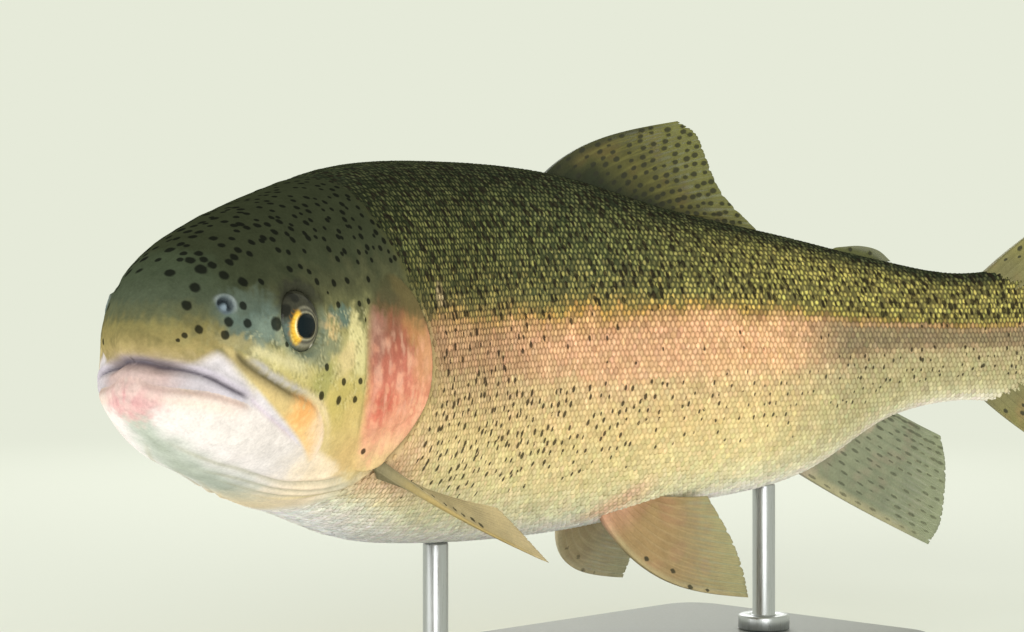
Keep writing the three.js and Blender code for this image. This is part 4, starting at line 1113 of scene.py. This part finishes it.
all_angle, _, _ = wrapped(all_x, all_arc, all_side)
roots = skin_point(all_x, all_angle)
depth_in = behind_start(all_x, roots[:, 2])
started = depth_in > 0.4
order = np.argsort(all_x[started], kind="stable")
all_x, all_arc, all_side, all_angle, roots, depth_in = (
    v[started][order] for v in (all_x, all_arc, all_side, all_angle, roots, depth_in))

net, middle, relief, cover = hide(all_x, all_angle, roots)
count = len(all_x)
emerged = ease(0, 10, depth_in)
length = scale_length_at(all_x) * scale_draw.normal(1, 0.04, count) * (0.8 + 0.2 * emerged)
height = ROW_HEIGHT * scale_draw.normal(1, 0.04, count)
twist = scale_draw.normal(0, 0.07, count)[:, None]
local_a, local_b = scale_a[None, :] * length[:, None], scale_b[None, :] * height[:, None]
# No two dashes are quite alike: each is shifted, stretched and leant a little.
dash = slice(CORNERS, 3 * CORNERS + 1)
dash_shift, dash_lean = scale_draw.normal(0, 0.1, (2, count, 1))
local_a[:, dash] = ((local_a[:, dash] - DASH_A * length[:, None]) * scale_draw.uniform(0.7, 1.35, (count, 1))
                    + DASH_A * length[:, None] + dash_shift + 1.4 * dash_lean * local_b[:, dash])
local_b[:, dash] *= scale_draw.uniform(0.7, 1.15, (count, 1))
corner_x = np.minimum(all_x[:, None] + local_a * np.cos(twist) - local_b * np.sin(twist), BODY_LENGTH + 4)
corner_arc = all_arc[:, None] + local_a * np.sin(twist) + local_b * np.cos(twist)
flat_corner_x, flat_corner_side = corner_x.ravel(), np.repeat(all_side, len(scale_a))
corner_angle, corner_side, near_arc = wrapped(flat_corner_x, corner_arc.ravel(), flat_corner_side)
corner_out, _, _ = skin_frame(flat_corner_x, corner_angle)
skin_level = relief - COAT_DEPTH * cover
stand = ((skin_level - 0.12 + (COAT_DEPTH + ROOT_HEIGHT + 0.12) * emerged)[:, None]
         + (scale_h[None, :] - ROOT_HEIGHT) * (0.5 + 0.5 * emerged)[:, None])
stand += scale_draw.normal(0, 0.015, count)[:, None]
scale_points = skin_point(flat_corner_x, corner_angle) + corner_out * stand.reshape(-1, 1)
scale_points[:, 1] *= corner_side
olive = ease(8, 18, np.degrees(folded(all_angle)))
boldness = np.clip(1 + scale_draw.normal(0, 1, count) * (0.2 + 0.25 * olive), 0.1, 1.9)
boldness *= 0.55 + 0.45 * emerged
lights = scale_light[None, :] + 0.25 * (1 - olive)[:, None] * (scale_light == 0.2)[None, :]
lights = np.clip(lights * boldness[:, None], 0, 1.6)
scale_colours = net[:, None, :] + (middle - net)[:, None, :] * lights[..., None]
scale_colours *= np.clip(scale_draw.normal(1, 0.08, (count, 1, 1)), 0.75, 1.25)
scale_colours *= 1 + scale_draw.normal(0, 0.02, (count, 1, 3))
scale_spots = np.empty(len(flat_corner_x))
for side, rows in side_spots.items():
    here = corner_side == side
    scale_spots[here] = spot_field(flat_corner_x[here], near_arc[here], rows)
on_skin = skin_point(flat_corner_x, corner_angle)
on_skin[:, 1] *= corner_side
scale_spots = np.maximum(scale_spots, head_spot_field(on_skin)) + 0.06 * wobble(on_skin, 2.2, 61)

scale_finish = hide_material("scaled_hide", 0.14, 0.2, Specular_IOR_Level=0.0)
scale_finish.node_tree.nodes["Group"].inputs["Ink"].default_value = (0.018, 0.015, 0.010, 1)
UNWRAPPED_SIZE = 0.003                             # of one scale, as a share of the whole unwrap
SCALES_PER_PIECE = 2200
scale_points = scale_points.reshape(count, -1, 3)
scale_spots = scale_spots.reshape(count, -1)
pieces_of_scales = math.ceil(count / SCALES_PER_PIECE)
for number, chosen in enumerate(np.array_split(np.arange(count), pieces_of_scales), start=1):
    offset = np.arange(len(chosen)) * len(scale_a)
    flipped = all_side[chosen] < 0
    root_u = unwrap_u(all_x[chosen])
    root_angle = np.where(flipped, math.pi - all_angle[chosen], all_angle[chosen])
    root_v = (root_angle + math.pi / 2) / (2 * math.pi)
    face_sets, unwrap_sets = [], []
    for faces in scale_faces:
        local = np.repeat(faces[None], len(chosen), axis=0)
        local[flipped] = local[flipped][..., ::-1]
        face_sets.append((local + offset[:, None, None]).reshape(-1, faces.shape[1]))
        at_u = (scale_a[local] - scale_a.min()) / np.ptp(scale_a) - 0.5
        at_v = scale_b[local] / np.ptp(scale_b)
        unwrap_sets.append(np.stack([(root_u[:, None, None] + UNWRAPPED_SIZE * at_u).ravel(),
                                     (root_v[:, None, None] + UNWRAPPED_SIZE * at_v).ravel()], -1))
    scales = make_piece(f"scales_{number}", bent(scale_points[chosen].reshape(-1, 3)), face_sets,
                        unwrap=np.concatenate(unwrap_sets),
                        layers=[("Hide", scale_colours[chosen].reshape(-1, 3)),
                                ("Spot", scale_spots[chosen].ravel())])
    scales.data.materials.append(scale_finish)
    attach(scales, "root")

# ---------- the eyes ----------
# A flattened ball in each open socket, with no lids. It has a brassy iris and a dark pupil, drawn out a
# little towards the snout, in which the lens stands proud. A thin clear coat covers it. Two highlights are
# painted on it: a pale line at the pupil's front rim and a pale fleck low at its back.
PUPIL_DROP = 1.7
PUPIL_RADIUS = 3.05
ball_centre = eye_centre + eye_out * (EYE_PROUD - EYE_DEPTH)


def polar_faces(rings, spokes):
    """Faces of a disc: a middle point first, then rings of points from the inside out."""
    ring, spoke = (v.ravel() for v in np.meshgrid(np.arange(rings - 1), np.arange(spokes), indexing="ij"))
    onward = (spoke + 1) % spokes
    walls = np.stack([1 + ring * spokes + spoke, 1 + (ring + 1) * spokes + spoke,
                      1 + (ring + 1) * spokes + onward, 1 + ring * spokes + onward], -1)
    first = np.arange(spokes)
    fan = np.stack([np.zeros(spokes, int), 1 + first, 1 + (first + 1) % spokes], -1)
    return fan, walls


def dome(rings, spokes, widest):
    """Places on the ball as (towards the snout, up, height share), from its pole out to an angle."""
    turn = np.linspace(0, widest, rings + 1)[1:]
    around = np.arange(spokes) / spokes * 2 * np.pi
    turn, around = (v.ravel() for v in np.meshgrid(turn, around, indexing="ij"))
    forward = np.concatenate([[0], np.sin(turn) * np.cos(around)]) * EYE_RADIUS
    up = np.concatenate([[0], np.sin(turn) * np.sin(around)]) * EYE_RADIUS
    return forward, up, np.concatenate([[1], np.cos(turn)]) * EYE_DEPTH


def eye_points(forward, up, out, side):
    """Places on the ball of one side, in the shared frame."""
    points = ball_centre + forward[:, None] * -eye_back + up[:, None] * eye_up + out[:, None] * eye_out
    return bent(points * [1, side, 1])


def eye_colours(forward, up):
    """Colours of the ball and how far its surface is sunk, in millimetres."""
    points = np.stack([forward, up, 0 * up], -1)
    fine, broad = wobble(points, 1.3, 41), wobble(points, 3.5, 42)
    across, over = forward - 0.1, up + PUPIL_DROP
    rho = np.hypot(across, over)
    turn = np.degrees(np.arctan2(over, across))
    long_way = np.cos(np.radians(turn - 12)) ** 2
    pupil_edge = PUPIL_RADIUS + 0.75 * long_way + 0.25 * ridge(turn + 35, 30)
    ring = rho - pupil_edge
    front = ease(-62, -34, turn) * (1 - ease(46, 74, turn))
    rim = ease(6.0, 6.7, rho + 0.15 * fine)
    below = rim * ridge(turn + 110, 55)
    crown = ease(-0.5, 1.5, up + 0.3 * broad) * ease(0.3, 1.0, ring - 0.8 * (1 - ease(1, 4, up)))
    crown_spots_at = [(1.9, 6.0, 1.7), (6.0, 3.4, 1.7), (-3.6, 4.6, 1.3)]
    highlight_fleck = np.hypot(forward + 2.9, (up + 7.0) * 1.4)
    streaks = np.sin(np.radians(turn) * 26 + 2.2 * broad) * ease(0.2, 1.4, ring) * front
    colour = layered(
        np.tile(tone("68664f"), (len(rho), 1)),
        ("8f8d74", ridge(ring - 0.4, 0.3)),
        ("45433a", 0.9 * ridge(ring - 1.1, 0.4)),
        ("83806a", 0.8 * ridge(ring - 1.8, 0.45)),
        ("a97f2e", 1.2 * front * (1 - ease(1.9, 2.9, ring + 0.25 * fine))),
        ("e8b93f", 1.2 * front * ridge(ring - 0.8 + 0.2 * fine, 0.75)),
        ("f0cf58", 0.9 * front * ridge(ring - 2.0 + 0.2 * fine, 0.3) * (1 - ease(-10, 30, turn))),
        # A pale yellow-white line on the iris by the pupil's front rim is a painted highlight.
        ("fff0b4", 1.1 * ridge(turn - 2, 34) * ridge(ring - 0.3, 0.3)),
        ("34322a", 0.85 * ridge(rho - 6.3, 0.4) * (1 - 0.6 * front)),
        ("5c6353", rim),
        ("5d6c61", ease(5.2, 6.2, rho) * ridge(turn - 5, 60)),
        ("38372a", 0.95 * crown * ease(4.6, 5.6, rho)),
        *(("1e1f19", 0.85 * crown * (1 - ease(0.6 * size, 1.2 * size,
                                             np.hypot(forward - ahead, up - above) + 0.3 * broad)))
          for ahead, above, size in crown_spots_at),
        ("33443e", 1.1 * below),
        ("65705f", 0.7 * below * ease(0.1, 0.8, np.sin(9 * rho + 2 * broad))),
        ("8f9a84", 0.7 * below * ridge(rho - 7.4 + 0.2 * broad, 0.25)),
        # A pale fleck low at the back of the ball is a painted highlight.
        ("cdc9b4", 0.9 * (1 - ease(0.5, 1.2, highlight_fleck + 0.2 * fine))),
        ("a4701c", 0.35 * ease(0.1, 0.9, streaks) * (1 - ease(2.2, 3, ring))))
    colour = layered(colour * (1 + 0.1 * fine)[:, None],
                     ("08161a", 1 - ease(-0.1, 0.12, ring)), ("3a2f14", 0.7 * ridge(ring - 0.15, 0.12)))
    sunk = 0.45 * (1 - ease(5.6, 7.2, rho)) - 0.6 * (1 - ease(-1.4, 0.05, ring))
    return colour, sunk


eye_finish = hide_material("iris", 0.08, 0.1, Coat_Weight=0.15, Coat_Roughness=0.04,
                           Specular_IOR_Level=0.05)
fan, walls = polar_faces(64, 128)
forward, up, out = dome(64, 128, math.radians(92))
ball_colours, sunk = eye_colours(forward, up)
for side, label in ((1, "right"), (-1, "left")):
    turned = [faces[:, ::-1] if side > 0 else faces for faces in (fan, walls)]
    eyeball = make_piece(f"eyeball_{label}", eye_points(forward, up, out - sunk, side), turned,
                         layers=[("Hide", ball_colours), ("Spot", np.full(len(up), -1.0))])
    eyeball.data.materials.append(eye_finish)
    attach(eyeball, "root")
    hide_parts(f"eye_{label}")

# ---------- the fins ----------
# Each fin is a thin web over a fan of bony rays that branch towards a slightly frayed margin. The rays
# grow out of the body through a fleshy base. Roots and tips run from the leading edge to the last ray, and
# bows are how far the rays curve off the straight way between them.
DORSAL = {
    "root": [[211, 0, 55], [226, 0, 52.5], [240, 0, 49], [254, 0, 46], [268, 0, 43.5]],
    "tip": [[267.5, 0, 76.9], [275.5, 0, 73], [280, 0, 65], [286.5, 0, 53.5], [303, 0, 40]],
    "bow": [-3, 0, 4], "thick": 4.2, "rays": 12,
}
ADIPOSE = {
    "root": [[337, 0, 32.6], [344, 0, 31.6], [351, 0, 30.4], [357, 0, 29.2]],
    "tip": [[341, 0, 34.8], [352, 0, 35.4], [361, 0, 33.8], [367, 0, 30]],
    "bow": [0, 0, 0.6], "thick": 3.6, "rays": 0,
}
ANAL = {
    "root": [[319, 0, -44.5], [332, 0, -38.5], [344, 0, -33], [355, 0, -28], [366, 0, -25]],
    "tip": [[386, 0, -76], [392, 0, -69], [394.5, 0, -58], [395, 0, -46], [392.5, 0, -35.5]],
    "bow": [0, 0, -1], "thick": 3.6, "rays": 12,
}
CAUDAL = {
    "root": [[413, 0, 24], [427, 0, 22.5], [433.5, 0, 12], [434.2, 0, 2], [433.5, 0, -8], [427, 0, -18.6],
             [413, 0, -20]],
    "tip": [[485, 0, 61.5], [490.5, 0, 55], [485, 0, 37], [479, 0, 18], [477, 0, 2.5], [479, 0, -13],
            [485, 0, -32], [490.5, 0, -50], [485, 0, -56.5]],
    "bow": [0, 0, 3], "last_bow": [0, 0, -3], "thick": 5.4, "rays": 19,
}
PELVIC = {
    "root": [[227, 10.5, -54.5], [233, 11, -53], [239, 11.5, -51.5], [245, 12, -50]],
    "tip": [[278.5, 24.5, -84.5], [278, 22.6, -76], [275, 20, -65], [267.5, 16.5, -50.5]],
    "bow": [-6, 5.5, -8], "last_bow": [0, 2, 0], "thick": 4, "rays": 10,
}
PELVIC_RIGHT = dict(PELVIC, tip=[[265.5, 29, -82.5], [267, 26, -74.5], [266, 22.5, -64.5],
                                 [260.5, 18, -51.5]])
PECTORAL = {
    "root": [[90.3, 24, -29.3], [92.2, 23.5, -30.6], [94.1, 23, -32], [96, 22.2, -33.4]],
    "tip": [[156, 51, -62], [153.5, 47.3, -57.7], [149.5, 43, -52], [142.5, 39.5, -45.8]],
    "bow": [0, 2, -3.5], "last_bow": [0, 3, -1.5], "thick": 3.6, "rays": 13,
}
PECTORAL_RIGHT = dict(PECTORAL, tip=[[152, 41, -50], [150, 40, -45], [144, 38, -42], [128, 32, -40]],
                      last_bow=[0, 3, -1])
RAY_COLUMNS = 14
RAY_ROWS = 46
WEB, RAY_RIDGE = 0.16, 0.3                         # half thickness of the web, and of the rays on it


def fin_shape(shape, side, draw):
    """Mid surface, half thickness, ray strength and shares across and along, as grids."""
    rays = max(shape["rays"], 3)
    across = np.linspace(0, 1, (rays - 1) * RAY_COLUMNS + 1)
    along = np.linspace(0, 1, RAY_ROWS)
    root = smooth_curve(shape["root"], across)
    tip = smooth_curve(shape["tip"], across)
    s, r = np.meshgrid(across, along, indexing="ij")
    in_ray = across * (rays - 1)
    aside = in_ray - np.round(in_ray)
    if shape["rays"]:
        cleft = draw.uniform(0.004, 0.02, rays)
        between = np.abs(aside) * 2
        cut = cleft[np.floor(in_ray - 1e-9).astype(int).clip(0)] * ease(0.55, 1, between)
        split = 0.006 * (1 - ease(0, 0.1, np.abs(aside)))
        reach = np.minimum(1 - cut - split + draw.normal(0, 0.0015, len(across)), 1)
        reach[:RAY_COLUMNS // 2] = 1
    else:
        reach = np.ones(len(across))
    r = r * reach[:, None]
    bow, last_bow = np.array(shape["bow"]), np.array(shape.get("last_bow", [0, 0, 0]))
    bows = bow + (last_bow - bow) * s[..., None]
    middle = root[:, None] + (tip - root)[:, None] * r[..., None]
    middle += bows * np.sin(np.pi * r ** 0.8)[..., None]
    first_split, second_split = 0.22 * ease(0.3, 0.62, r), 0.11 * ease(0.62, 0.9, r)
    strength = np.zeros(r.shape)
    for a in (-1, 1):
        for b in (-1, 1):
            offset = aside[:, None] - a * first_split - b * second_split
            strength = np.maximum(strength, np.exp(-(offset / (0.15 - 0.07 * r)) ** 2))
    strength *= bool(shape["rays"])
    lead = 1 - ease(0, 0.6 / rays, s)
    flesh = np.minimum(1, 0.45 + 6 * s * (1 - s)) * (1 - r) ** 2.6
    half = WEB + RAY_RIDGE * np.maximum(strength, lead) * (1.25 - 0.8 * r)
    half += (shape["thick"] / 2 - 0.4) * flesh
    half *= 1 - 0.75 * ease(0.94, 1, r / reach[:, None])
    middle[..., 1] *= side
    return middle, half, np.maximum(strength, 0.9 * lead), s, r


def fin_piece(name, replaced, shape, side, paint, spots, draw, boldest=1.0):
    """A closed fin. Paint gives its colour from shares across and along, strength and points."""
    middle, half, strength, s, r = fin_shape(shape, side, draw)
    normal = np.cross(np.gradient(middle, axis=0), np.gradient(middle, axis=1))
    normal /= np.linalg.norm(normal, axis=-1, keepdims=True) + 1e-12
    wide, tall = half.shape
    faces_of = np.stack([middle - normal * half[..., None], middle + normal * half[..., None]])
    points = faces_of.reshape(-1, 3)
    flat = middle.reshape(-1, 3)
    colour = paint(s.ravel(), r.ravel(), strength.ravel(), flat)
    field = np.full(wide * tall, -1.0)
    for spot_s, spot_r, length_half, width_half in spots:
        i, j = int(round(spot_s * (wide - 1))), int(round(spot_r * (tall - 1)))
        ahead = middle[i, min(j + 1, tall - 1)] - middle[i, max(j - 1, 0)]
        ahead /= np.linalg.norm(ahead)
        away = flat - middle[i, j]
        lengthwise = away @ ahead
        aside = np.sqrt(np.maximum((away ** 2).sum(1) - lengthwise ** 2, 0))
        field = np.maximum(field, 1 - np.hypot(lengthwise / length_half, aside / width_half))
    field = np.minimum(field, boldest)
    clear = (ease(0.25, 0.8, r) * (1 - 0.7 * strength)).ravel() * (1 - ease(-0.2, 0.2, field))
    grid = np.arange(wide * tall).reshape(wide, tall)
    a, b, c, d = grid[:-1, :-1], grid[1:, :-1], grid[1:, 1:], grid[:-1, 1:]
    front = np.stack([a, b, c, d], -1).reshape(-1, 4)
    rim = np.concatenate([grid[:, 0], grid[-1, 1:], grid[-2::-1, -1], grid[0, -2:0:-1]])
    rim_next = np.roll(rim, -1)
    layer = wide * tall
    walls = np.stack([rim, layer + rim, layer + rim_next, rim_next], -1)
    faces = np.concatenate([front[:, ::-1], front + layer, walls[:, ::-1]])
    placed = bent(points)
    a, b, c, d = (placed[faces[:, i]] for i in range(4))
    volume = (a * (np.cross(b, c) + np.cross(c, d))).sum()
    if volume < 0:
        faces = faces[:, ::-1]
    fin = make_piece(name, placed, [faces],
                     layers=[("Hide", np.tile(colour, (2, 1))), ("Spot", np.tile(field, 2)),
                             ("Web", np.tile(clear, 2))])
    fin.data.materials.append(fin_finish)
    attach(fin, "root")
    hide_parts(replaced)


fin_finish = hide_material("fin_web", 0.16, 0.3, Specular_IOR_Level=0.1)
fin_finish.node_tree.nodes["Group"].inputs["Ink"].default_value = (0.03, 0.031, 0.018, 1)
tree = fin_finish.node_tree
web_layer = node(tree, "ShaderNodeAttribute", attribute_name="Web")
see_through = node(tree, "ShaderNodeMapRange", [("Value", web_layer.outputs["Fac"]), ("From Min", 0.0),
                                                ("From Max", 1.0), ("To Min", 1.0), ("To Max", 0.66)])
tree.links.new(see_through.outputs[0], tree.nodes["Principled BSDF"].inputs["Alpha"])


def painted(base, outer, root, ray, warm=None, root_share=0.28, lead=None):
    """A painter for fins: web that changes outwards, warm blotches, rays, leading edge and root flesh."""
    def paint(s, r, strength, points):
        """Colours of a fin's points."""
        blotch = wobble(points, 12, 51)
        return layered(
            np.tile(tone(base), (len(s), 1)),
            (outer, ease(0.35, 1, r + 0.1 * blotch)),
            (warm or base, bool(warm) * 0.6 * ease(0, 1, blotch) * (1 - ease(0.6, 1, r))),
            (ray, 0.55 * strength * ease(0.1, 0.3, r)),
            (lead or base, bool(lead) * 0.8 * (1 - ease(0.02, 0.1, s)) * (1 - ease(0.7, 1, r))),
            (root, 1 - ease(0.02, root_share, r + 0.05 * blotch)))
    return paint


def rows_of_spots(draw, across, along, sizes, keep=0.85, first=0.12, last=0.96):
    """Spots in rows over a fin, as shares across and along with half length and half width."""
    spots = []
    for i in range(across):
        for j in range(along):
            s = (i + 0.5 + draw.uniform(-0.16, 0.16)) / across
            r = first + (last - first) * (j + 0.5 * (i % 2) + draw.uniform(0.15, 0.4)) / along
            size = draw.uniform(0.75, 1.2)
            if draw.random() < keep and r < last:
                spots.append((s, r, sizes[0] * size, sizes[1] * size))
    return spots


fin_draw = np.random.default_rng(29)
dorsal_paint = painted("57552e", "74763a", "2e3322", "6e6b39", "5f5230", 0.42, "3c3f29")
fin_piece("dorsal_fin_rays", "dorsal_fin", DORSAL, 1, dorsal_paint,
          rows_of_spots(fin_draw, 14, 9, (1.4, 0.95), 0.96, 0.08, 0.99), fin_draw)
fin_piece("adipose_fin_lobe", "adipose_fin", ADIPOSE, 1, painted("5c5f37", "6e7040", "43472c", "6e7040"),
          [(0.3, 0.5, 1.2, 0.9), (0.65, 0.6, 1.1, 0.9)], fin_draw)
anal_paint = painted("7f8468", "949a74", "a49a80", "717a60", "857f68", 0.1, "a6a07a")
fin_piece("anal_fin_rays", "anal_fin", ANAL, 1, anal_paint,
          rows_of_spots(fin_draw, 13, 8, (2.0, 0.55), 0.9, 0.08, 0.97), fin_draw, 0.16)
caudal_paint = painted("7a7646", "85844e", "75714a", "827e4e", "8a744c")
fin_piece("caudal_fin_rays", "caudal_fin", CAUDAL, 1, caudal_paint,
          rows_of_spots(fin_draw, 17, 8, (1.5, 0.95), 0.85), fin_draw)
pelvic_paint = painted("9f865c", "9ea06e", "cc9f80", "aa9469", "a37f5e", 0.17, "b3a478")
pale_pelvic_paint = painted("b3a37c", "b7b68c", "c8ab8b", "bdb08a", "b39a78", 0.17, "bdb18c")
# Spots of the paired fins, as shares across and along with half length and half width.
pelvic_spots = [(0.1, 0.3, 1.1, 1.0), (0.14, 0.48, 1.2, 1.0), (0.02, 0.62, 1.3, 1.0), (0.03, 0.74, 1.0, 0.7)]
pectoral_paint = painted("a89c74", "c9b787", "857d5c", "cdbb88", "8f8460", 0.34, "b09a5e")
pectoral_spots = [
    (0.36, 0.16, 0.8, 0.6), (0.3, 0.22, 0.9, 0.7), (0.34, 0.29, 0.8, 0.7), (0.24, 0.35, 0.9, 0.8),
    (0.3, 0.42, 1.0, 1.0), (0.22, 0.47, 1.0, 0.9), (0.27, 0.53, 1.2, 1.2), (0.18, 0.57, 1.3, 1.1)]
for label, side, pelvic, pelvic_tones, boldest, pectoral in (
        ("right", 1, PELVIC_RIGHT, pale_pelvic_paint, 0.2, PECTORAL_RIGHT),
        ("left", -1, PELVIC, pelvic_paint, 1.0, PECTORAL)):
    fin_piece(f"pelvic_fin_rays_{label}", f"pelvic_fin_{label}", pelvic, side, pelvic_tones, pelvic_spots,
              fin_draw, boldest)
    fin_piece(f"pectoral_fin_rays_{label}", f"pectoral_fin_{label}", pectoral, side, pectoral_paint,
              pectoral_spots, fin_draw)

# ---------- the display stand ----------
# A painted steel base with rounded corners, and two brushed rods that stand in collars on it and
# reach a little way into the belly.
def worn_finish(name, colour, stretch, rough, bump, metallic):
    """Metal or paint with a fine grain drawn out along the given axes."""
    material = bpy.data.materials.new(name)
    material.use_nodes = True
    tree = material.node_tree
    surface = tree.nodes["Principled BSDF"]
    surface.inputs["Base Color"].default_value = (*tone(colour), 1)
    surface.inputs["Metallic"].default_value = metallic
    place = node(tree, "ShaderNodeTexCoord")
    drawn = node(tree, "ShaderNodeVectorMath", [(0, place.outputs["Object"]), (1, stretch)],
                 operation="MULTIPLY")
    grain = node(tree, "ShaderNodeTexNoise", [("Vector", drawn.outputs[0]), ("Scale", 1.0), ("Detail", 4.0)])
    tint = node(tree, "ShaderNodeMapRange", [
        ("Value", grain.outputs["Fac"]), ("From Min", 0.3), ("From Max", 0.7),
        ("To Min", 0.9), ("To Max", 1.06)])
    shaded = node(tree, "ShaderNodeVectorMath", [(0, tone(colour)), (3, tint.outputs[0])], operation="SCALE")
    sheen = node(tree, "ShaderNodeMapRange", [
        ("Value", grain.outputs["Fac"]), ("From Min", 0.3), ("From Max", 0.7),
        ("To Min", rough - 0.07), ("To Max", rough + 0.07)])
    relief_node = node(tree, "ShaderNodeBump", [("Height", grain.outputs["Fac"]), ("Strength", bump),
                                                ("Distance", 0.0001)])
    tree.links.new(shaded.outputs[0], surface.inputs["Base Color"])
    tree.links.new(sheen.outputs[0], surface.inputs["Roughness"])
    tree.links.new(relief_node.outputs["Normal"], surface.inputs["Normal"])
    return material


def stacked(name, rings, finish, replaced):
    """A solid from closed rings of points in metres, listed from its foot to its top."""
    around = len(rings[0])
    level, spoke = (v.ravel() for v in np.meshgrid(np.arange(len(rings) - 1), np.arange(around),
                                                   indexing="ij"))
    onward = (spoke + 1) % around
    walls = np.stack([level * around + spoke, level * around + onward, (level + 1) * around + onward,
                      (level + 1) * around + spoke], -1)
    caps = np.stack([np.arange(around)[::-1], (len(rings) - 1) * around + np.arange(around)])
    solid = make_piece(name, np.concatenate(rings), [walls, caps])
    solid.data.materials.append(finish)
    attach(solid, "root")
    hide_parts(replaced)


paint_finish = worn_finish("base_paint", "8c8f88", (900, 900, 900), 0.5, 0.25, 0.0)
rod_finish = worn_finish("rod_steel", "b9bbbd", (5000, 5000, 90), 0.32, 0.2, 1.0)
low, high = (np.array(corner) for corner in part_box("stand_base"))
CORNER_RADIUS = 0.014
quarter = np.linspace(0, math.pi / 2, 15)
base_rings = []
# Rings of the base, as millimetres inside its outline and over the ground.
for inset, rise in ((1.0, 0), (0.35, 0.25), (0, 0.9), (0, 6.9), (0.08, 7.3), (0.3, 7.7), (0.65, 7.93),
                    (1.1, 8)):
    ring = []
    for turn, toward in enumerate(np.array([[1, 1], [-1, 1], [-1, -1], [1, -1]])):
        corner = np.where(toward > 0, high[:2], low[:2]) - toward * CORNER_RADIUS
        radius = CORNER_RADIUS - inset / 1000
        angle = quarter + turn * math.pi / 2
        ring.append(np.stack([corner[0] + radius * np.cos(angle), corner[1] + radius * np.sin(angle),
                              np.full(len(angle), low[2] + rise / 1000)], -1))
    base_rings.append(np.concatenate(ring))
stacked("stand_base_plate", base_rings, paint_finish, "stand_base")
circle = 2 * math.pi * np.arange(72) / 72
for end in ("front", "rear"):
    low, high = (np.array(corner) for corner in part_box(f"stand_rod_{end}"))
    centre, top = (low + high) / 2, (high[2] - low[2]) * 1000
    # The collar, the groove round the rod and the rod, as radius and height over its foot in millimetres.
    outline = ((8.8, 0.02), (9, 0.3), (9, 4.2), (8.75, 4.75), (8.2, 5), (4.9, 5), (4.55, 4.8), (4.3, 4.8),
               (4, 5.1), (4, top - 0.8), (3.8, top - 0.3), (3.2, top))
    rod_rings = [np.stack([centre[0] + radius / 1000 * np.cos(circle),
                           centre[1] + radius / 1000 * np.sin(circle),
                           np.full(len(circle), low[2] + rise / 1000)], -1) for radius, rise in outline]
    stacked(f"stand_post_{end}", rod_rings, rod_finish, f"stand_rod_{end}")

# ---------- floor, background and light ----------
# A pale matte floor that keeps the model's shadow and fades into the pale background. Soft lamps stand ahead
# of the fish and behind it, and the floor throws light back up at the belly.
BACKGROUND = (*tone("e6ead9"), 1)
floor_mesh = bpy.data.meshes.new("floor")
floor_mesh.from_pydata([(-12, -12, -0.0005), (12, -12, -0.0005), (12, 12, -0.0005), (-12, 12, -0.0005)], [],
                       [(0, 1, 2, 3)])
floor = bpy.data.objects.new("floor", floor_mesh)
bpy.context.scene.collection.objects.link(floor)
floor_finish = bpy.data.materials.new("pale_floor")
floor_finish.use_nodes = True
tree = floor_finish.node_tree
matte = tree.nodes["Principled BSDF"]
matte.inputs["Base Color"].default_value = BACKGROUND
matte.inputs["Roughness"].default_value = 0.9
where = node(tree, "ShaderNodeNewGeometry")
reach = node(tree, "ShaderNodeVectorMath", [(0, where.outputs["Position"])], operation="LENGTH")
far = node(tree, "ShaderNodeMapRange", [
    ("Value", reach.outputs["Value"]), ("From Min", 0.35), ("From Max", 1.6)],
    interpolation_type="SMOOTHSTEP")
glow = node(tree, "ShaderNodeEmission", [("Color", BACKGROUND), ("Strength", 1.0)])
faded = node(tree, "ShaderNodeMixShader", [(0, far.outputs[0]), (1, matte.outputs[0]), (2, glow.outputs[0])])
floor_path = node(tree, "ShaderNodeLightPath")
lifted = node(tree, "ShaderNodeEmission", [("Color", (1, 0.99, 0.96, 1)), ("Strength", 1.75)])
bounced = node(tree, "ShaderNodeMixShader", [
    (0, floor_path.outputs["Is Diffuse Ray"]), (1, faded.outputs[0]), (2, lifted.outputs[0])])
tree.links.new(bounced.outputs[0], tree.nodes["Material Output"].inputs["Surface"])
floor_mesh.materials.append(floor_finish)

world = bpy.data.worlds.new("studio")
bpy.context.scene.world = world
world.use_nodes = True
tree = world.node_tree
sky = tree.nodes["Background"]
sky.inputs["Color"].default_value = (1, 1, 1, 1)
sky.inputs["Strength"].default_value = 0.72
seen = node(tree, "ShaderNodeBackground", [("Color", BACKGROUND), ("Strength", 1.0)])
path = node(tree, "ShaderNodeLightPath")
either = node(tree, "ShaderNodeMath", [
    (0, path.outputs["Is Camera Ray"]), (1, path.outputs["Is Glossy Ray"])], operation="MAXIMUM")
any_ray = node(tree, "ShaderNodeMath", [
    (0, either.outputs[0]), (1, path.outputs["Is Transmission Ray"])], operation="MAXIMUM")
choose = node(tree, "ShaderNodeMixShader", [
    (0, any_ray.outputs[0]), (1, sky.outputs[0]), (2, seen.outputs[0])])
tree.links.new(choose.outputs[0], tree.nodes["World Output"].inputs["Surface"])
LAMP_SIZE = 0.9
LAMP_AIM = Vector((0, 0, 0.1))


def lamp(name, place, power):
    """A square soft lamp that faces the fish."""
    data = bpy.data.lights.new(name, "AREA")
    data.size, data.energy = LAMP_SIZE, power
    made = bpy.data.objects.new(name, data)
    made.location = place
    made.rotation_euler = (LAMP_AIM - Vector(place)).to_track_quat("-Z", "Y").to_euler()
    bpy.context.scene.collection.objects.link(made)


lamp("key", (-1.1, -1.25, 0.6), 10.4)
lamp("fill", (-1.3, 0.3, 0.4), 3)
lamp("back", (0.9, 1.0, 0.8), 6)
